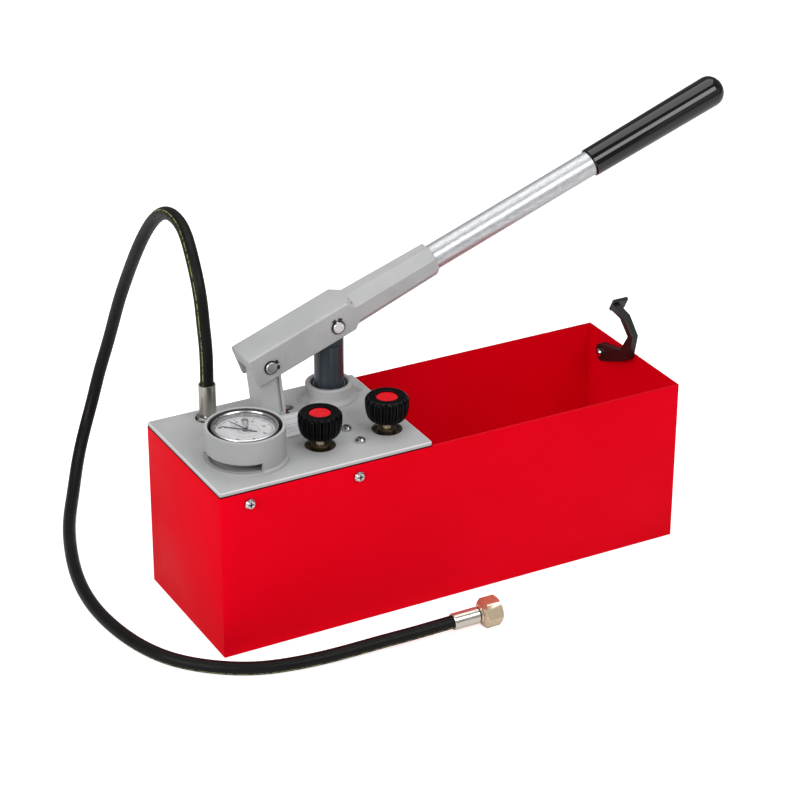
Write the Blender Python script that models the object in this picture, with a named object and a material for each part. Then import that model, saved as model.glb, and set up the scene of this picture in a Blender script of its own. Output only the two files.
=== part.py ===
"""Hydrostatic test pump: a lever pump on a water tank, with gauge, valves and pressure hose.

Metres, +Z up. The origin is the centre of the tank's underside. +X runs from the pump head to the
tank's open end, and +Y from the front to the back. Angles are in degrees.
"""

import math

import bmesh
import bpy
import numpy as np
from mathutils import Matrix, Vector

# Fits and facets
FIT_GAP = 0.0003  # between pieces that seat on, or in, each other
SIDE_PLAY = 0.0005  # on each side of a piece that swings between two cheeks
OVERRUN = 0.003  # how far a cutter passes the faces that it cuts
WELD = 0.00001
ROUND_SIDES = 32
SHAFT_SIDES = 20
SMALL_SIDES = 12
CORNER_STEPS = 4
SHARP_ANGLE = 35

# Tank: an open box of folded sheet
TANK_LENGTH = 0.516
TANK_WIDTH = 0.170
TANK_HEIGHT = 0.176
SHEET = 0.0015
SHEET_EDGE = 0.0006

# Head plate: the casting over the tank's left end
PLATE_LENGTH = 0.228
PLATE_THICKNESS = 0.004
PLATE_CORNER = 0.002
PLATE_EDGE = 0.001
RAIL_WIDTH = 0.014
RAIL_DEPTH = 0.0123
RAIL_FROM_FRONT = 0.052

# Screws: pan heads with a cross recess
TANK_SCREWS_FROM_LEFT = (0.0305, 0.1471)
TANK_SCREW_BELOW_RIM = 0.013
TANK_SCREW_SHANK = 0.006
TANK_SCREW_HEAD = 0.011
TANK_SCREW_REACH = 0.012
SCREW_LUG_WIDTH = 0.016
SCREW_LUG_DEPTH = 0.0135
SCREW_LUG_DROP = 0.024
PLATE_SCREW_FROM_LEFT = 0.1665
PLATE_SCREWS_FROM_FRONT = (0.034, 0.063)
PLATE_SCREW_SHANK = 0.005
PLATE_SCREW_HEAD = 0.0105
PLATE_SCREW_REACH = 0.018
HEAD_HEIGHT_SHARE = 0.34
RECESS_LENGTH_SHARE = 0.56
RECESS_WIDTH_SHARE = 0.13
RECESS_DEPTH_SHARE = 0.55

# Pressure gauge and its cup
GAUGE_FROM_LEFT = 0.054
GAUGE_FROM_FRONT = 0.057
GAUGE_DIAMETER = 0.063
CASE_WALL = 0.001
BEZEL_OVERLAP = 0.0015
BEZEL_HEIGHT = 0.0105
BEZEL_LIP = 0.001
BEZEL_LIP_REACH = 0.0031
BEZEL_RECESS = 0.0005
BEZEL_ROUND = 0.0015
WINDOW_THICKNESS = 0.0015
DIAL_DEPTH = 0.0032
DIAL_THICKNESS = 0.001
CUP_ROOM = 0.003
CUP_WALL = 0.0035
CUP_RISE = 0.0347
CUP_LIP = 0.0007
CUP_FOOT = 0.003
CUP_SLOT_RISE = 0.0026
CUP_SLOT_HEIGHT = 0.0089
CUP_SLOT_BEHIND = 0.022
GAUGE_BOSS_RADIUS = 0.013
SOCKET_RADIUS = 0.006
SOCKET_FLATS = 0.014
SOCKET_HEX_HEIGHT = 0.0051
SOCKET_DROP = 0.0113
SOCKET_NECK = 0.005
SOCKET_BORE = 0.0015
ARM_LENGTH = 0.0225
ARM_TAIL = 0.007
ARM_WIDTH = 0.010
ARM_HEIGHT = 0.007
BOURDON_RADIUS = 0.020
BOURDON_BREADTH = 0.003
BOURDON_HEIGHT = 0.0055
BOURDON_SWEEP = 236
BOURDON_STEPS = 28
MOVEMENT_RADIUS = 0.011
MOVEMENT_PLATE = 0.0014
PILLAR_RADIUS = 0.0015
PILLAR_CIRCLE = 0.0085
PILLAR_COUNT = 3
STAFF_RADIUS = 0.001
STAFF_ROOM = 0.0005
POINTER_LENGTH = 0.024
POINTER_TAIL = 0.0122
POINTER_WIDTH = 0.0016
POINTER_THICKNESS = 0.0006
POINTER_HUB = 0.003
POINTER_HUB_HEIGHT = 0.001
POINTER_ANGLE = 135  # from +X towards +Y, seen from above
MAX_POINTER_LENGTH = 0.022
MAX_POINTER_ANGLE = 110
RESET_KNOB_RADIUS = 0.003
RESET_KNOB_HEIGHT = 0.007

# Valves: knob, stem and gland over a block that hangs under the plate
VALVE_FROM_LEFT = 0.1287
VALVE_PITCH = 0.0734
VALVE_FROM_FRONT = 0.0456
VALVE_HOLE_RADIUS = 0.0155
BLOCK_END = 0.0205
BLOCK_FRONT = 0.0216
BLOCK_BACK = 0.0244
BLOCK_HEIGHT = 0.038
BLOCK_EDGE = 0.001
PASSAGE_RADIUS = 0.003
PASSAGE_RISE = 0.007
STEM_RADIUS = 0.004
STEM_TIP_RADIUS = 0.0012
STEM_TAPER = 0.004
GLAND_RADIUS = 0.007
GLAND_DEPTH = 0.018
GLAND_FLANGE_RADIUS = 0.0146
GLAND_FLANGE = 0.0021
GLAND_GROOVE = 0.0008
GLAND_RIM = 0.0018
GLAND_COLLAR_RADIUS = 0.0095
GLAND_COLLAR_HEIGHT = 0.006
KNOB_RADIUS = 0.02185
KNOB_HEIGHT = 0.0246
KNOB_RISE = 0.0114
KNOB_FLUTES = 20
KNOB_FLUTE_DEPTH = 0.0019
KNOB_TOP_WEB = 0.0053
# height, radius and flute depth at each level of the knob, from its underside to its top
KNOB_LEVEL_SHARES = (
    (0.0, 0.74, 0.5),
    (0.06, 0.82, 0.8),
    (0.18, 0.91, 1.0),
    (0.42, 0.975, 1.0),
    (0.60, 1.0, 1.0),
    (0.83, 1.0, 1.0),
    (0.93, 0.965, 0.8),
    (1.0, 0.87, 0.0),
)
FLUTE_LAND_SHARE = 0.58
CAP_RADIUS = 0.011
CAP_THICKNESS = 0.0018
CAP_RECESS = 0.0032

# Pump cylinder, piston and foot valve
LEVER_FROM_BACK = 0.034  # the plane of lever, link and piston
PISTON_FROM_LEFT = 0.1846
PISTON_RADIUS = 0.015
PISTON_LENGTH = 0.1353  # from its pin down
PISTON_CHAMFER = 0.001
PISTON_FLATS = 0.024
FLATS_BELOW_PIN = 0.025
FULL_ROD_BELOW_PIN = 0.0095
HEAD_WALL = 0.0022
PIN_DRIFT_BACK = 0.0061  # how far the lever's arc carries the pin off the piston's axis
PIN_DRIFT_DOWN = 0.00265
SLOT_CLEARANCE = 0.0008
SEAL_GROOVE_RISE = 0.005
SEAL_GROOVE_DEPTH = 0.0025
SEAL_HEIGHT = 0.0044
BARREL_WALL = 0.0034
BARREL_FLANGE = 0.0043
BARREL_FLANGE_HEIGHT = 0.008
BOSS_WALL = 0.0053
BOSS_RISE = 0.0167
BOSS_FLARE = 0.0037
BOSS_FLARE_RISE = 0.007
BOSS_LIP = 0.001
SCRAPER_HEIGHT = 0.0035
SCRAPER_RECESS = 0.0025
SCRAPER_LIP = 0.0012
RIB_THICKNESS = 0.008
RIB_RISE = 0.0095
LEFT_RIB_REACH = 0.0102
RIGHT_RIB_REACH = 0.012
STRAINER_CLEARANCE = 0.0065
STRAINER_HEIGHT = 0.026
STRAINER_RADIUS = 0.012
STRAINER_WALL = 0.001
STRAINER_SLOT_WIDTH = 0.004
STRAINER_SLOTS = 3
NOZZLE_RADIUS = 0.008
NOZZLE_LENGTH = 0.022
NOZZLE_ENTRY = 0.004
FOOT_BODY_HEIGHT = 0.0177
SPIGOT_HEIGHT = 0.014
WATERWAY_RADIUS = 0.003
BALL_RADIUS = 0.0045
BALL_ROOM_RADIUS = 0.0055
BALL_ROOM_HEIGHT = 0.015
BALL_SEAT_RISE = 0.006

# Linkage: link, lever, pins and circlips
LINK_PIN_BELOW_PLATE = 0.0103
LINK_LENGTH = 0.07243
LINK_LEAN = 6.26
LINK_WIDTH = 0.030
LINK_DEPTH = 0.0243
LINK_EYE_RADIUS = 0.013
LINK_GROOVE_WIDTH = 0.0035
LINK_GROOVE_DEPTH = 0.0025
LINK_GROOVE_OFFSET = 0.006
LINK_GROOVE_END = 0.016
LINK_ROOM = 0.0043
LINK_LUG_RADIUS = 0.0125
LINK_LUG_WIDTH = 0.0075
LINK_PIN_HEAD = 0.008
LINK_PIN_HEAD_HEIGHT = 0.002
DRAIN_RADIUS = 0.0055
DRAIN_FROM_LEFT = 0.1365
DRAIN_BEFORE_LEVER = 0.004
PIN_RADIUS = 0.006
PIN_CHAMFER = 0.00075
PIN_END = 0.0013
PIN_SPACING = 0.079
GROOVE_DEPTH = 0.00055
CIRCLIP_THICKNESS = 0.001
CIRCLIP_BREADTH = 0.00155
CIRCLIP_GAP = 22
CIRCLIP_EAR = 0.0022
CIRCLIP_EAR_ANGLE = 25
CIRCLIP_STEPS = 20
LINK_PIN_EARS = -5  # where each pin's circlip opens, from the lever's axis
PISTON_PIN_EARS = 78
LEVER_ANGLE = 20.2
CHEEK = 0.005
ROOF = 0.005
LEVER_TAIL = 0.019
LEVER_NOSE = 0.017
LEVER_ABOVE = 0.0185
LEVER_BELOW = 0.0145
LEVER_EDGE = 0.0013
TAIL_WALL = 0.004
TAIL_ARCH_ABOVE = 0.005
TAIL_ARCH_ROUND = 0.005
CHANNEL_PAST_NOSE = 0.0075
CHANNEL_ROUND = 0.001
SHOULDER = 0.0085
NECK_LENGTH = 0.0975
NECK_FLATS = 0.036
NECK_TIP_FLATS = 0.0324
TUBE_RADIUS = 0.01325
TUBE_WALL = 0.0026
TUBE_ENTRY = 0.052
TUBE_BARE = 0.1966
GRIP_LENGTH = 0.1684
GRIP_RADIUS = 0.01515
GRIP_TIP_RADIUS = 0.01655
GRIP_EDGE = 0.0012
GRIP_DOME = 0.0145
GRIP_END_WALL = 0.011
DOME_STEPS = 6

# Hook on the end wall, which holds the lowered lever
HOOK_SCREW_FROM_BACK = 0.0365
HOOK_SCREW_BELOW_RIM = 0.0185
HOOK_SCREW_SHANK = 0.005
HOOK_SCREW_HEAD = 0.0095
HOOK_SCREW_END = 0.0022
HOOK_NUT_FLATS = 0.010
HOOK_NUT_HEIGHT = 0.0045
HOOK_THICKNESS = 0.008
HOOK_REACH = 0.0586  # pivot to the farthest point of its back
HOOK_RISE = 0.0695  # pivot to its top
HOOK_EYE_RADIUS = 0.0099
# (towards the front, up) from the pivot, as shares of reach and rise
HOOK_OUTER_SHARES = (
    (0.03, -0.142),
    (0.705, 0.098),
    (0.893, 0.199),
    (1.0, 0.607),
    (0.708, 0.856),
    (0.33, 0.93),
)
HOOK_INNER_SHARES = (
    (0.212, 0.812),
    (0.578, 0.765),
    (0.843, 0.561),
    (0.616, 0.260),
    (0.037, 0.151),
)
THUMB_SHARES = ((0.205, 0.810), (0.329, 1.0), (0.387, 0.972), (0.263, 0.782))
THUMB_LENGTH = 0.018
HOOK_EDGE = 0.0006

# Hose from the head plate's rear left port to the swivel nut in front of the tank
HOSE_PORT_FROM_LEFT = 0.057
HOSE_PORT_FROM_BACK = 0.020
HOSE_RADIUS = 0.00675
HOSE_FACETS = 3
HOSE_STEP_SHARE = 2.3
HOSE_ROOM = 0.0004
HOSE_END_FROM_LEFT = 0.216
HOSE_END_IN_FRONT = 0.0643
HOSE_ROUTE = (
    (-0.2010, 0.0650, 0.2100),
    (-0.2010, 0.0650, 0.2200),
    (-0.2010, 0.0650, 0.2520),
    (-0.2020, 0.0670, 0.2810),
    (-0.2020, 0.0715, 0.3050),
    (-0.2010, 0.0820, 0.3260),
    (-0.1980, 0.1000, 0.3430),
    (-0.1920, 0.1310, 0.3560),
    (-0.1880, 0.1770, 0.3550),
    (-0.1870, 0.2330, 0.3170),
    (-0.1870, 0.2670, 0.2770),
    (-0.1860, 0.2970, 0.2380),
    (-0.1870, 0.3200, 0.2010),
    (-0.1890, 0.3370, 0.1660),
    (-0.1930, 0.3490, 0.1340),
    (-0.2000, 0.3560, 0.1030),
    (-0.2095, 0.3555, 0.0730),
    (-0.2240, 0.3455, 0.0450),
    (-0.2455, 0.3160, 0.0240),
    (-0.2660, 0.2790, 0.0125),
    (-0.2920, 0.2270, 0.0080),
    (-0.3140, 0.1690, 0.0070),
    (-0.3300, 0.1090, 0.0070),
    (-0.3370, 0.0470, 0.0070),
    (-0.3340, 0.0050, 0.0070),
    (-0.3270, -0.0280, 0.0070),
    (-0.3060, -0.0750, 0.0070),
    (-0.2770, -0.1050, 0.0070),
    (-0.2440, -0.1250, 0.0070),
    (-0.2070, -0.1353, 0.0072),
    (-0.1663, -0.1406, 0.0080),
    (-0.1237, -0.1436, 0.0098),
    (-0.0809, -0.1472, 0.0118),
    (-0.0420, -0.1493, 0.0135),
    (-0.0343, -0.1493, 0.0135),
)
ADAPTER_FLATS = 0.022
ADAPTER_HEX_HEIGHT = 0.0106
ADAPTER_CHAMFER = 0.0015
ADAPTER_NECK = 0.0065
ADAPTER_TAIL = 0.0103
POCKET_RADIUS = 0.013
POCKET_DEPTH = 0.008
HOSE_BOSS_RADIUS = 0.017
HOSE_BOSS_DROP = 0.0163
UPPER_FERRULE_RADIUS = 0.00865
UPPER_FERRULE_LENGTH = 0.0321
UPPER_FERRULE_LIFT = 0.0024
LOWER_FERRULE_RADIUS = 0.0085
LOWER_FERRULE_LENGTH = 0.0284
FERRULE_SOCKET = 0.008
FERRULE_BORE = 0.003
FERRULE_EDGE = 0.0006
FERRULE_TAIL_DEPTH = 0.011
TAIL_RADIUS = 0.0047
TAIL_RING_RADIUS = 0.0076
TAIL_RING_LENGTH = 0.0011
TAIL_NECK_RADIUS = 0.0063
TAIL_FLANGE = 0.003
NUT_FLATS = 0.027
NUT_LENGTH = 0.0176
NUT_COLLAR_LENGTH = 0.0036
NUT_COLLAR_RADIUS = 0.0073
NUT_COLLAR_FLARE = 0.010
NUT_BACK_WALL = 0.0028
NUT_SOCKET_RADIUS = 0.0105
NUT_FACE_RADIUS = 0.0131
NUT_CHAMFER = 0.0014
SEAL_THICKNESS = 0.002
SEAL_HOLE_RADIUS = 0.004

# Blank rating label
LABEL_FROM_LEFT = 0.100
LABEL_BEHIND_VALVE_HOLE = 0.0119
LABEL_BEFORE_LINK = 0.002
LABEL_LENGTH = 0.050
LABEL_THICKNESS = 0.0005
LABEL_CORNER = 0.0015

# Places worked out from the sizes above
LEFT = -TANK_LENGTH / 2
RIGHT = TANK_LENGTH / 2
FRONT = -TANK_WIDTH / 2
BACK = TANK_WIDTH / 2
PLATE_UNDER = TANK_HEIGHT + FIT_GAP
PLATE_TOP = PLATE_UNDER + PLATE_THICKNESS
PLATE_MIDDLE = (PLATE_UNDER + PLATE_TOP) / 2
GAUGE_X = LEFT + GAUGE_FROM_LEFT
GAUGE_Y = FRONT + GAUGE_FROM_FRONT
CUP_TOP = PLATE_TOP + CUP_RISE
CUP_INSIDE = GAUGE_DIAMETER / 2 + BEZEL_OVERLAP + CUP_ROOM
BEZEL_TOP = CUP_TOP - BEZEL_RECESS
WINDOW_TOP = BEZEL_TOP - BEZEL_LIP - FIT_GAP
WINDOW_UNDER = WINDOW_TOP - WINDOW_THICKNESS
CASE_RIM = WINDOW_UNDER - FIT_GAP
DIAL_TOP = CASE_RIM - DIAL_DEPTH
DIAL_UNDER = DIAL_TOP - DIAL_THICKNESS
SOCKET_HEX_UNDER = PLATE_TOP + FIT_GAP
CASE_UNDER = SOCKET_HEX_UNDER + SOCKET_HEX_HEIGHT + FIT_GAP
ARM_UNDER = CASE_UNDER + CASE_WALL + FIT_GAP
ARM_TOP = ARM_UNDER + ARM_HEIGHT
VALVE_XS = (LEFT + VALVE_FROM_LEFT, LEFT + VALVE_FROM_LEFT + VALVE_PITCH)
VALVE_Y = FRONT + VALVE_FROM_FRONT
BLOCK_TOP = PLATE_UNDER - FIT_GAP
BLOCK_UNDER = BLOCK_TOP - BLOCK_HEIGHT
BLOCK_FRONT_Y = VALVE_Y - BLOCK_FRONT
BLOCK_BACK_Y = VALVE_Y + BLOCK_BACK
PASSAGE_Z = BLOCK_UNDER + PASSAGE_RISE
KNOB_UNDER = PLATE_TOP + KNOB_RISE
KNOB_TOP = KNOB_UNDER + KNOB_HEIGHT
STEM_TOP = KNOB_TOP - CAP_RECESS - KNOB_TOP_WEB - FIT_GAP
LEVER_Y = BACK - LEVER_FROM_BACK
PISTON_X = LEFT + PISTON_FROM_LEFT
BORE_RADIUS = PISTON_RADIUS + FIT_GAP
BARREL_RADIUS = BORE_RADIUS + BARREL_WALL
BOSS_BORE_RADIUS = BARREL_RADIUS + FIT_GAP
BOSS_RADIUS = BOSS_BORE_RADIUS + BOSS_WALL
BOSS_TOP = PLATE_TOP + BOSS_RISE
SCRAPER_TOP = BOSS_TOP - SCRAPER_RECESS
BARREL_TOP = SCRAPER_TOP - SCRAPER_HEIGHT - FIT_GAP
STRAINER_UNDER = SHEET + STRAINER_CLEARANCE
STRAINER_TOP = STRAINER_UNDER + STRAINER_HEIGHT
NOZZLE_UNDER = STRAINER_TOP - NOZZLE_ENTRY
FOOT_UNDER = NOZZLE_UNDER + NOZZLE_LENGTH
FOOT_TOP = FOOT_UNDER + FOOT_BODY_HEIGHT
BARREL_UNDER = FOOT_TOP + FIT_GAP
BALL_SEAT_Z = FOOT_UNDER + BALL_SEAT_RISE
SPAN = PIN_SPACING * math.cos(math.radians(LEVER_ANGLE))
CLIMB = PIN_SPACING * math.sin(math.radians(LEVER_ANGLE))
LINK_TOP_X = PISTON_X - SPAN
LINK_BASE_X = LINK_TOP_X + LINK_LENGTH * math.sin(math.radians(LINK_LEAN))
LINK_BASE_Z = PLATE_UNDER - LINK_PIN_BELOW_PLATE
LINK_TOP_Z = LINK_BASE_Z + LINK_LENGTH * math.cos(math.radians(LINK_LEAN))
PISTON_PIN_Z = LINK_TOP_Z + CLIMB
CHANNEL_HALF = LINK_WIDTH / 2 + SIDE_PLAY
BODY_HALF = CHANNEL_HALF + CHEEK
PIN_HOLE_RADIUS = PIN_RADIUS + FIT_GAP
NECK_START = PIN_SPACING + LEVER_NOSE + SHOULDER
NECK_END = NECK_START + NECK_LENGTH
TUBE_START = NECK_END - TUBE_ENTRY
GRIP_START = NECK_END + TUBE_BARE
GRIP_END = GRIP_START + GRIP_LENGTH
TUBE_END = GRIP_END - GRIP_END_WALL - FIT_GAP
TUBE_HOLE_RADIUS = TUBE_RADIUS + FIT_GAP
HOOK_Y = BACK - HOOK_SCREW_FROM_BACK
HOOK_Z = TANK_HEIGHT - HOOK_SCREW_BELOW_RIM
HOOK_OUTSIDE = RIGHT - SHEET - FIT_GAP
HOOK_INSIDE = HOOK_OUTSIDE - HOOK_THICKNESS
HOSE_PORT_X = LEFT + HOSE_PORT_FROM_LEFT
HOSE_PORT_Y = BACK - HOSE_PORT_FROM_BACK
POCKET_FLOOR = PLATE_TOP - POCKET_DEPTH
ADAPTER_UNDER = POCKET_FLOOR + FIT_GAP
ADAPTER_HEX_TOP = ADAPTER_UNDER + ADAPTER_HEX_HEIGHT
UPPER_FERRULE_UNDER = ADAPTER_HEX_TOP + UPPER_FERRULE_LIFT
UPPER_FERRULE_TOP = UPPER_FERRULE_UNDER + UPPER_FERRULE_LENGTH
HOSE_END_X = LEFT + HOSE_END_FROM_LEFT
HOSE_END_Y = FRONT - HOSE_END_IN_FRONT
HOSE_END_Z = NUT_FLATS / 2
RING_START = LOWER_FERRULE_LENGTH + FIT_GAP
NUT_START = RING_START + TAIL_RING_LENGTH + FIT_GAP
NUT_HEX_START = NUT_START + NUT_COLLAR_LENGTH
NUT_END = NUT_HEX_START + NUT_LENGTH
NUT_SEAT = NUT_HEX_START + NUT_BACK_WALL
FLANGE_START = NUT_SEAT + FIT_GAP
SEAL_START = FLANGE_START + TAIL_FLANGE + FIT_GAP

AXES = {
    "X": (Vector((1, 0, 0)), lambda a, b, along: (along, a, b)),
    "Y": (Vector((0, 1, 0)), lambda a, b, along: (a, along, b)),
    "Z": (Vector((0, 0, 1)), lambda a, b, along: (a, b, along)),
}


# Modelling helpers


def object_of(name, bm):
    bmesh.ops.remove_doubles(bm, verts=bm.verts, dist=WELD)
    bmesh.ops.recalc_face_normals(bm, faces=bm.faces)
    mesh = bpy.data.meshes.new(name)
    bm.to_mesh(mesh)
    bm.free()
    piece = bpy.data.objects.new(name, mesh)
    bpy.context.collection.objects.link(piece)
    return piece


def turned(name, profile, sides=ROUND_SIDES, axis="Z", at=(0, 0)):
    """Spins (radius, place along the axis) points; a profile that starts on the axis also ends there."""
    direction, place = AXES[axis]
    bm = bmesh.new()
    verts = [bm.verts.new(place(at[0] + radius, at[1], along)) for radius, along in profile]
    edges = [bm.edges.new(pair) for pair in zip(verts, verts[1:])]
    if profile[0][0] > 0:
        edges.append(bm.edges.new((verts[-1], verts[0])))
    centre = place(at[0], at[1], 0)
    bmesh.ops.spin(
        bm, geom=verts + edges, cent=centre, axis=direction, angle=math.tau, steps=sides, use_merge=True
    )
    return object_of(name, bm)


def loft(name, rings):
    """Skins closed rings with equal numbers of points, and caps both ends."""
    bm = bmesh.new()
    loops = [[bm.verts.new(point) for point in ring] for ring in rings]
    for lower, upper in zip(loops, loops[1:]):
        for i in range(len(lower)):
            j = (i + 1) % len(lower)
            bm.faces.new((lower[i], lower[j], upper[j], upper[i]))
    bm.faces.new(loops[0])
    bm.faces.new(loops[-1])
    return object_of(name, bm)


def prism(name, outline, low, high, axis="Z"):
    place = AXES[axis][1]
    return loft(name, [[place(a, b, along) for a, b in outline] for along in (low, high)])


def rod(name, radius, low, high, at=(0, 0), axis="Z", sides=ROUND_SIDES):
    return prism(name, arc(at, radius, 0, 360, sides)[:-1], low, high, axis)


def box(name, low, high):
    return prism(name, rectangle(low[0], low[1], high[0], high[1]), low[2], high[2])


def rectangle(left, low, right, high):
    return [(left, low), (right, low), (right, high), (left, high)]


def arc(centre, radius, start, end, steps):
    """Points from one angle to another, both ends included."""
    angles = [math.radians(start + (end - start) * i / steps) for i in range(steps + 1)]
    return [(centre[0] + radius * math.cos(a), centre[1] + radius * math.sin(a)) for a in angles]


def hexagon(flats, start=0):
    return arc((0, 0), flats / 2 / math.cos(math.pi / 6), start, start + 360, 6)[:-1]


def rounded(outline, radius, steps=CORNER_STEPS):
    """Replaces each corner of an outline with an arc that touches both its edges."""
    points = []
    count = len(outline)
    for i, corner in enumerate(outline):
        here = Vector(corner)
        before = (Vector(outline[i - 1]) - here).normalized()
        after = (Vector(outline[(i + 1) % count]) - here).normalized()
        half = before.angle(after) / 2
        reach = radius / math.tan(half)
        centre = here + (before + after).normalized() * (radius / math.sin(half))
        first = here + before * reach - centre
        last = here + after * reach - centre
        turn = first.angle_signed(last)
        for step in range(steps + 1):
            spoke = Matrix.Rotation(-turn * step / steps, 2) @ first
            points.append(tuple(centre + spoke))
    return points


def tongue(centre, radius, top):
    """A half circle below the centre, with straight sides up to the top."""
    return arc(centre, radius, 180, 360, SHAFT_SIDES // 2) + [(centre[0] + radius, top), (centre[0] - radius, top)]


def combine(piece, tool, operation):
    modifier = piece.modifiers.new(operation.lower(), "BOOLEAN")
    modifier.object = tool
    modifier.operation = operation
    modifier.solver = "EXACT"
    bpy.context.view_layer.update()
    graph = bpy.context.evaluated_depsgraph_get()
    result = bpy.data.meshes.new_from_object(piece.evaluated_get(graph))
    piece.modifiers.remove(modifier)
    piece.data = result
    bpy.data.objects.remove(tool)
    return piece


def cut(piece, *tools):
    for tool in tools:
        combine(piece, tool, "DIFFERENCE")
    return piece


def join(piece, *tools):
    for tool in tools:
        combine(piece, tool, "UNION")
    return piece


def soften(piece, width, steps=2):
    """Bevels every sharp edge of a convex blank."""
    bm = bmesh.new()
    bm.from_mesh(piece.data)
    sharp = [e for e in bm.edges if e.calc_face_angle(0) > math.radians(SHARP_ANGLE)]
    bmesh.ops.bevel(bm, geom=sharp, offset=width, segments=steps, profile=0.5, affect="EDGES", clamp_overlap=True)
    bm.to_mesh(piece.data)
    bm.free()
    return piece


def material(name, colour, roughness, metallic=0.0):
    paint = bpy.data.materials.new(name)
    paint.use_nodes = True
    shader = paint.node_tree.nodes["Principled BSDF"]
    shader.inputs["Base Color"].default_value = (*colour, 1.0)
    shader.inputs["Roughness"].default_value = roughness
    shader.inputs["Metallic"].default_value = metallic
    return paint


def finish(piece, paint, parent=None):
    """Gives a piece its material and shading, and hangs it on its joint's empty."""
    piece.data.materials.clear()
    piece.data.materials.append(paint)
    piece.data.shade_smooth()
    piece.data.set_sharp_from_angle(angle=math.radians(SHARP_ANGLE))
    piece.parent = parent
    return piece


def joint_frame(name, location, rotation=(0, 0, 0)):
    frame = bpy.data.objects.new(name, None)
    frame.location = location
    frame.rotation_euler = rotation
    bpy.context.collection.objects.link(frame)
    return frame


def screw(name, shank, head, reach, axis, direction):
    """A pan head on the side that direction points to; its seat is at zero, and its shank runs the other way."""
    height = head * HEAD_HEIGHT_SHARE
    seat = FIT_GAP * direction
    top = seat + height * direction
    crown = seat + height * direction * 0.55
    profile = [
        (0, -reach * direction),
        (shank / 2, -reach * direction),
        (shank / 2, seat),
        (head / 2, seat),
        (head / 2, crown),
        (head / 2 * 0.72, top),
        (0, top),
    ]
    body = turned(name, profile, SMALL_SIDES, axis)
    length = head * RECESS_LENGTH_SHARE / 2
    width = head * RECESS_WIDTH_SHARE / 2
    floor = top - height * RECESS_DEPTH_SHARE * direction
    for a, b in ((length, width), (width, length)):
        ends = sorted((floor, top + OVERRUN * direction))
        cut(body, prism("recess", rectangle(-a, -b, a, b), ends[0], ends[1], axis))
    return body


# Tank


def tank_screw_z():
    return TANK_HEIGHT - TANK_SCREW_BELOW_RIM


def make_tank():
    tank = soften(box("tank", (LEFT, FRONT, 0), (RIGHT, BACK, TANK_HEIGHT)), SHEET_EDGE)
    low = (LEFT + SHEET, FRONT + SHEET, SHEET)
    high = (RIGHT - SHEET, BACK - SHEET, TANK_HEIGHT + OVERRUN)
    cut(tank, box("inside", low, high))
    for from_left in TANK_SCREWS_FROM_LEFT:
        centre = (LEFT + from_left, tank_screw_z())
        radius = TANK_SCREW_SHANK / 2 + FIT_GAP
        cut(tank, rod("hole", radius, FRONT - OVERRUN, BACK + OVERRUN, centre, "Y", SMALL_SIDES))
    radius = HOOK_SCREW_SHANK / 2 + FIT_GAP
    cut(tank, rod("hole", radius, RIGHT - SHEET - OVERRUN, RIGHT + OVERRUN, (HOOK_Y, HOOK_Z), "X", SMALL_SIDES))
    return finish(tank, RED_PAINT)


def make_tank_screws():
    places = [(x, wall) for wall in (-1, 1) for x in TANK_SCREWS_FROM_LEFT]
    for i, (from_left, wall) in enumerate(places):
        piece = screw(f"tank_screw_{i + 1}", TANK_SCREW_SHANK, TANK_SCREW_HEAD, TANK_SCREW_REACH, "Y", wall)
        piece.location = (LEFT + from_left, wall * TANK_WIDTH / 2, tank_screw_z())
        finish(piece, ZINC)


# Head plate


def cup_ring():
    inside = CUP_INSIDE
    outside = inside + CUP_WALL
    foot = outside + CUP_FOOT
    return turned(
        "cup",
        [
            (inside, PLATE_MIDDLE),
            (foot, PLATE_MIDDLE),
            (foot, PLATE_TOP + CUP_FOOT - CUP_LIP),
            (foot - CUP_LIP, PLATE_TOP + CUP_FOOT),
            (outside + CUP_LIP, PLATE_TOP + CUP_FOOT),
            (outside, PLATE_TOP + CUP_FOOT + CUP_LIP),
            (outside, CUP_TOP - CUP_LIP),
            (outside - CUP_LIP, CUP_TOP),
            (inside + CUP_LIP, CUP_TOP),
            (inside, CUP_TOP - CUP_LIP),
        ],
        at=(GAUGE_X, GAUGE_Y),
    )


def cylinder_boss():
    profile = [
        (0, PLATE_MIDDLE),
        (BOSS_RADIUS + BOSS_FLARE, PLATE_MIDDLE),
        (BOSS_RADIUS + BOSS_FLARE, PLATE_TOP + BOSS_LIP),
        (BOSS_RADIUS + BOSS_FLARE / 3, PLATE_TOP + BOSS_FLARE_RISE / 2),
        (BOSS_RADIUS, PLATE_TOP + BOSS_FLARE_RISE),
        (BOSS_RADIUS, BOSS_TOP - BOSS_LIP),
        (BOSS_RADIUS - BOSS_LIP, BOSS_TOP),
        (0, BOSS_TOP),
    ]
    return turned("boss", profile, at=(PISTON_X, LEVER_Y))


def boss_rib(side, reach):
    inner = PISTON_X + side * (BOSS_BORE_RADIUS + BOSS_WALL / 2)
    outer = PISTON_X + side * (BOSS_RADIUS + reach)
    outline = [(inner, PLATE_MIDDLE), (outer, PLATE_MIDDLE), (outer, PLATE_TOP), (inner, PLATE_TOP + RIB_RISE)]
    return prism("rib", outline, LEVER_Y - RIB_THICKNESS / 2, LEVER_Y + RIB_THICKNESS / 2, "Y")


def screw_lug(from_left, wall):
    centre = LEFT + from_left
    outer = wall * (TANK_WIDTH / 2 - SHEET - FIT_GAP)
    inner = outer - wall * SCREW_LUG_DEPTH
    low = (centre - SCREW_LUG_WIDTH / 2, min(outer, inner), PLATE_UNDER - SCREW_LUG_DROP)
    high = (centre + SCREW_LUG_WIDTH / 2, max(outer, inner), PLATE_MIDDLE)
    return box("lug", low, high)


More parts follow.
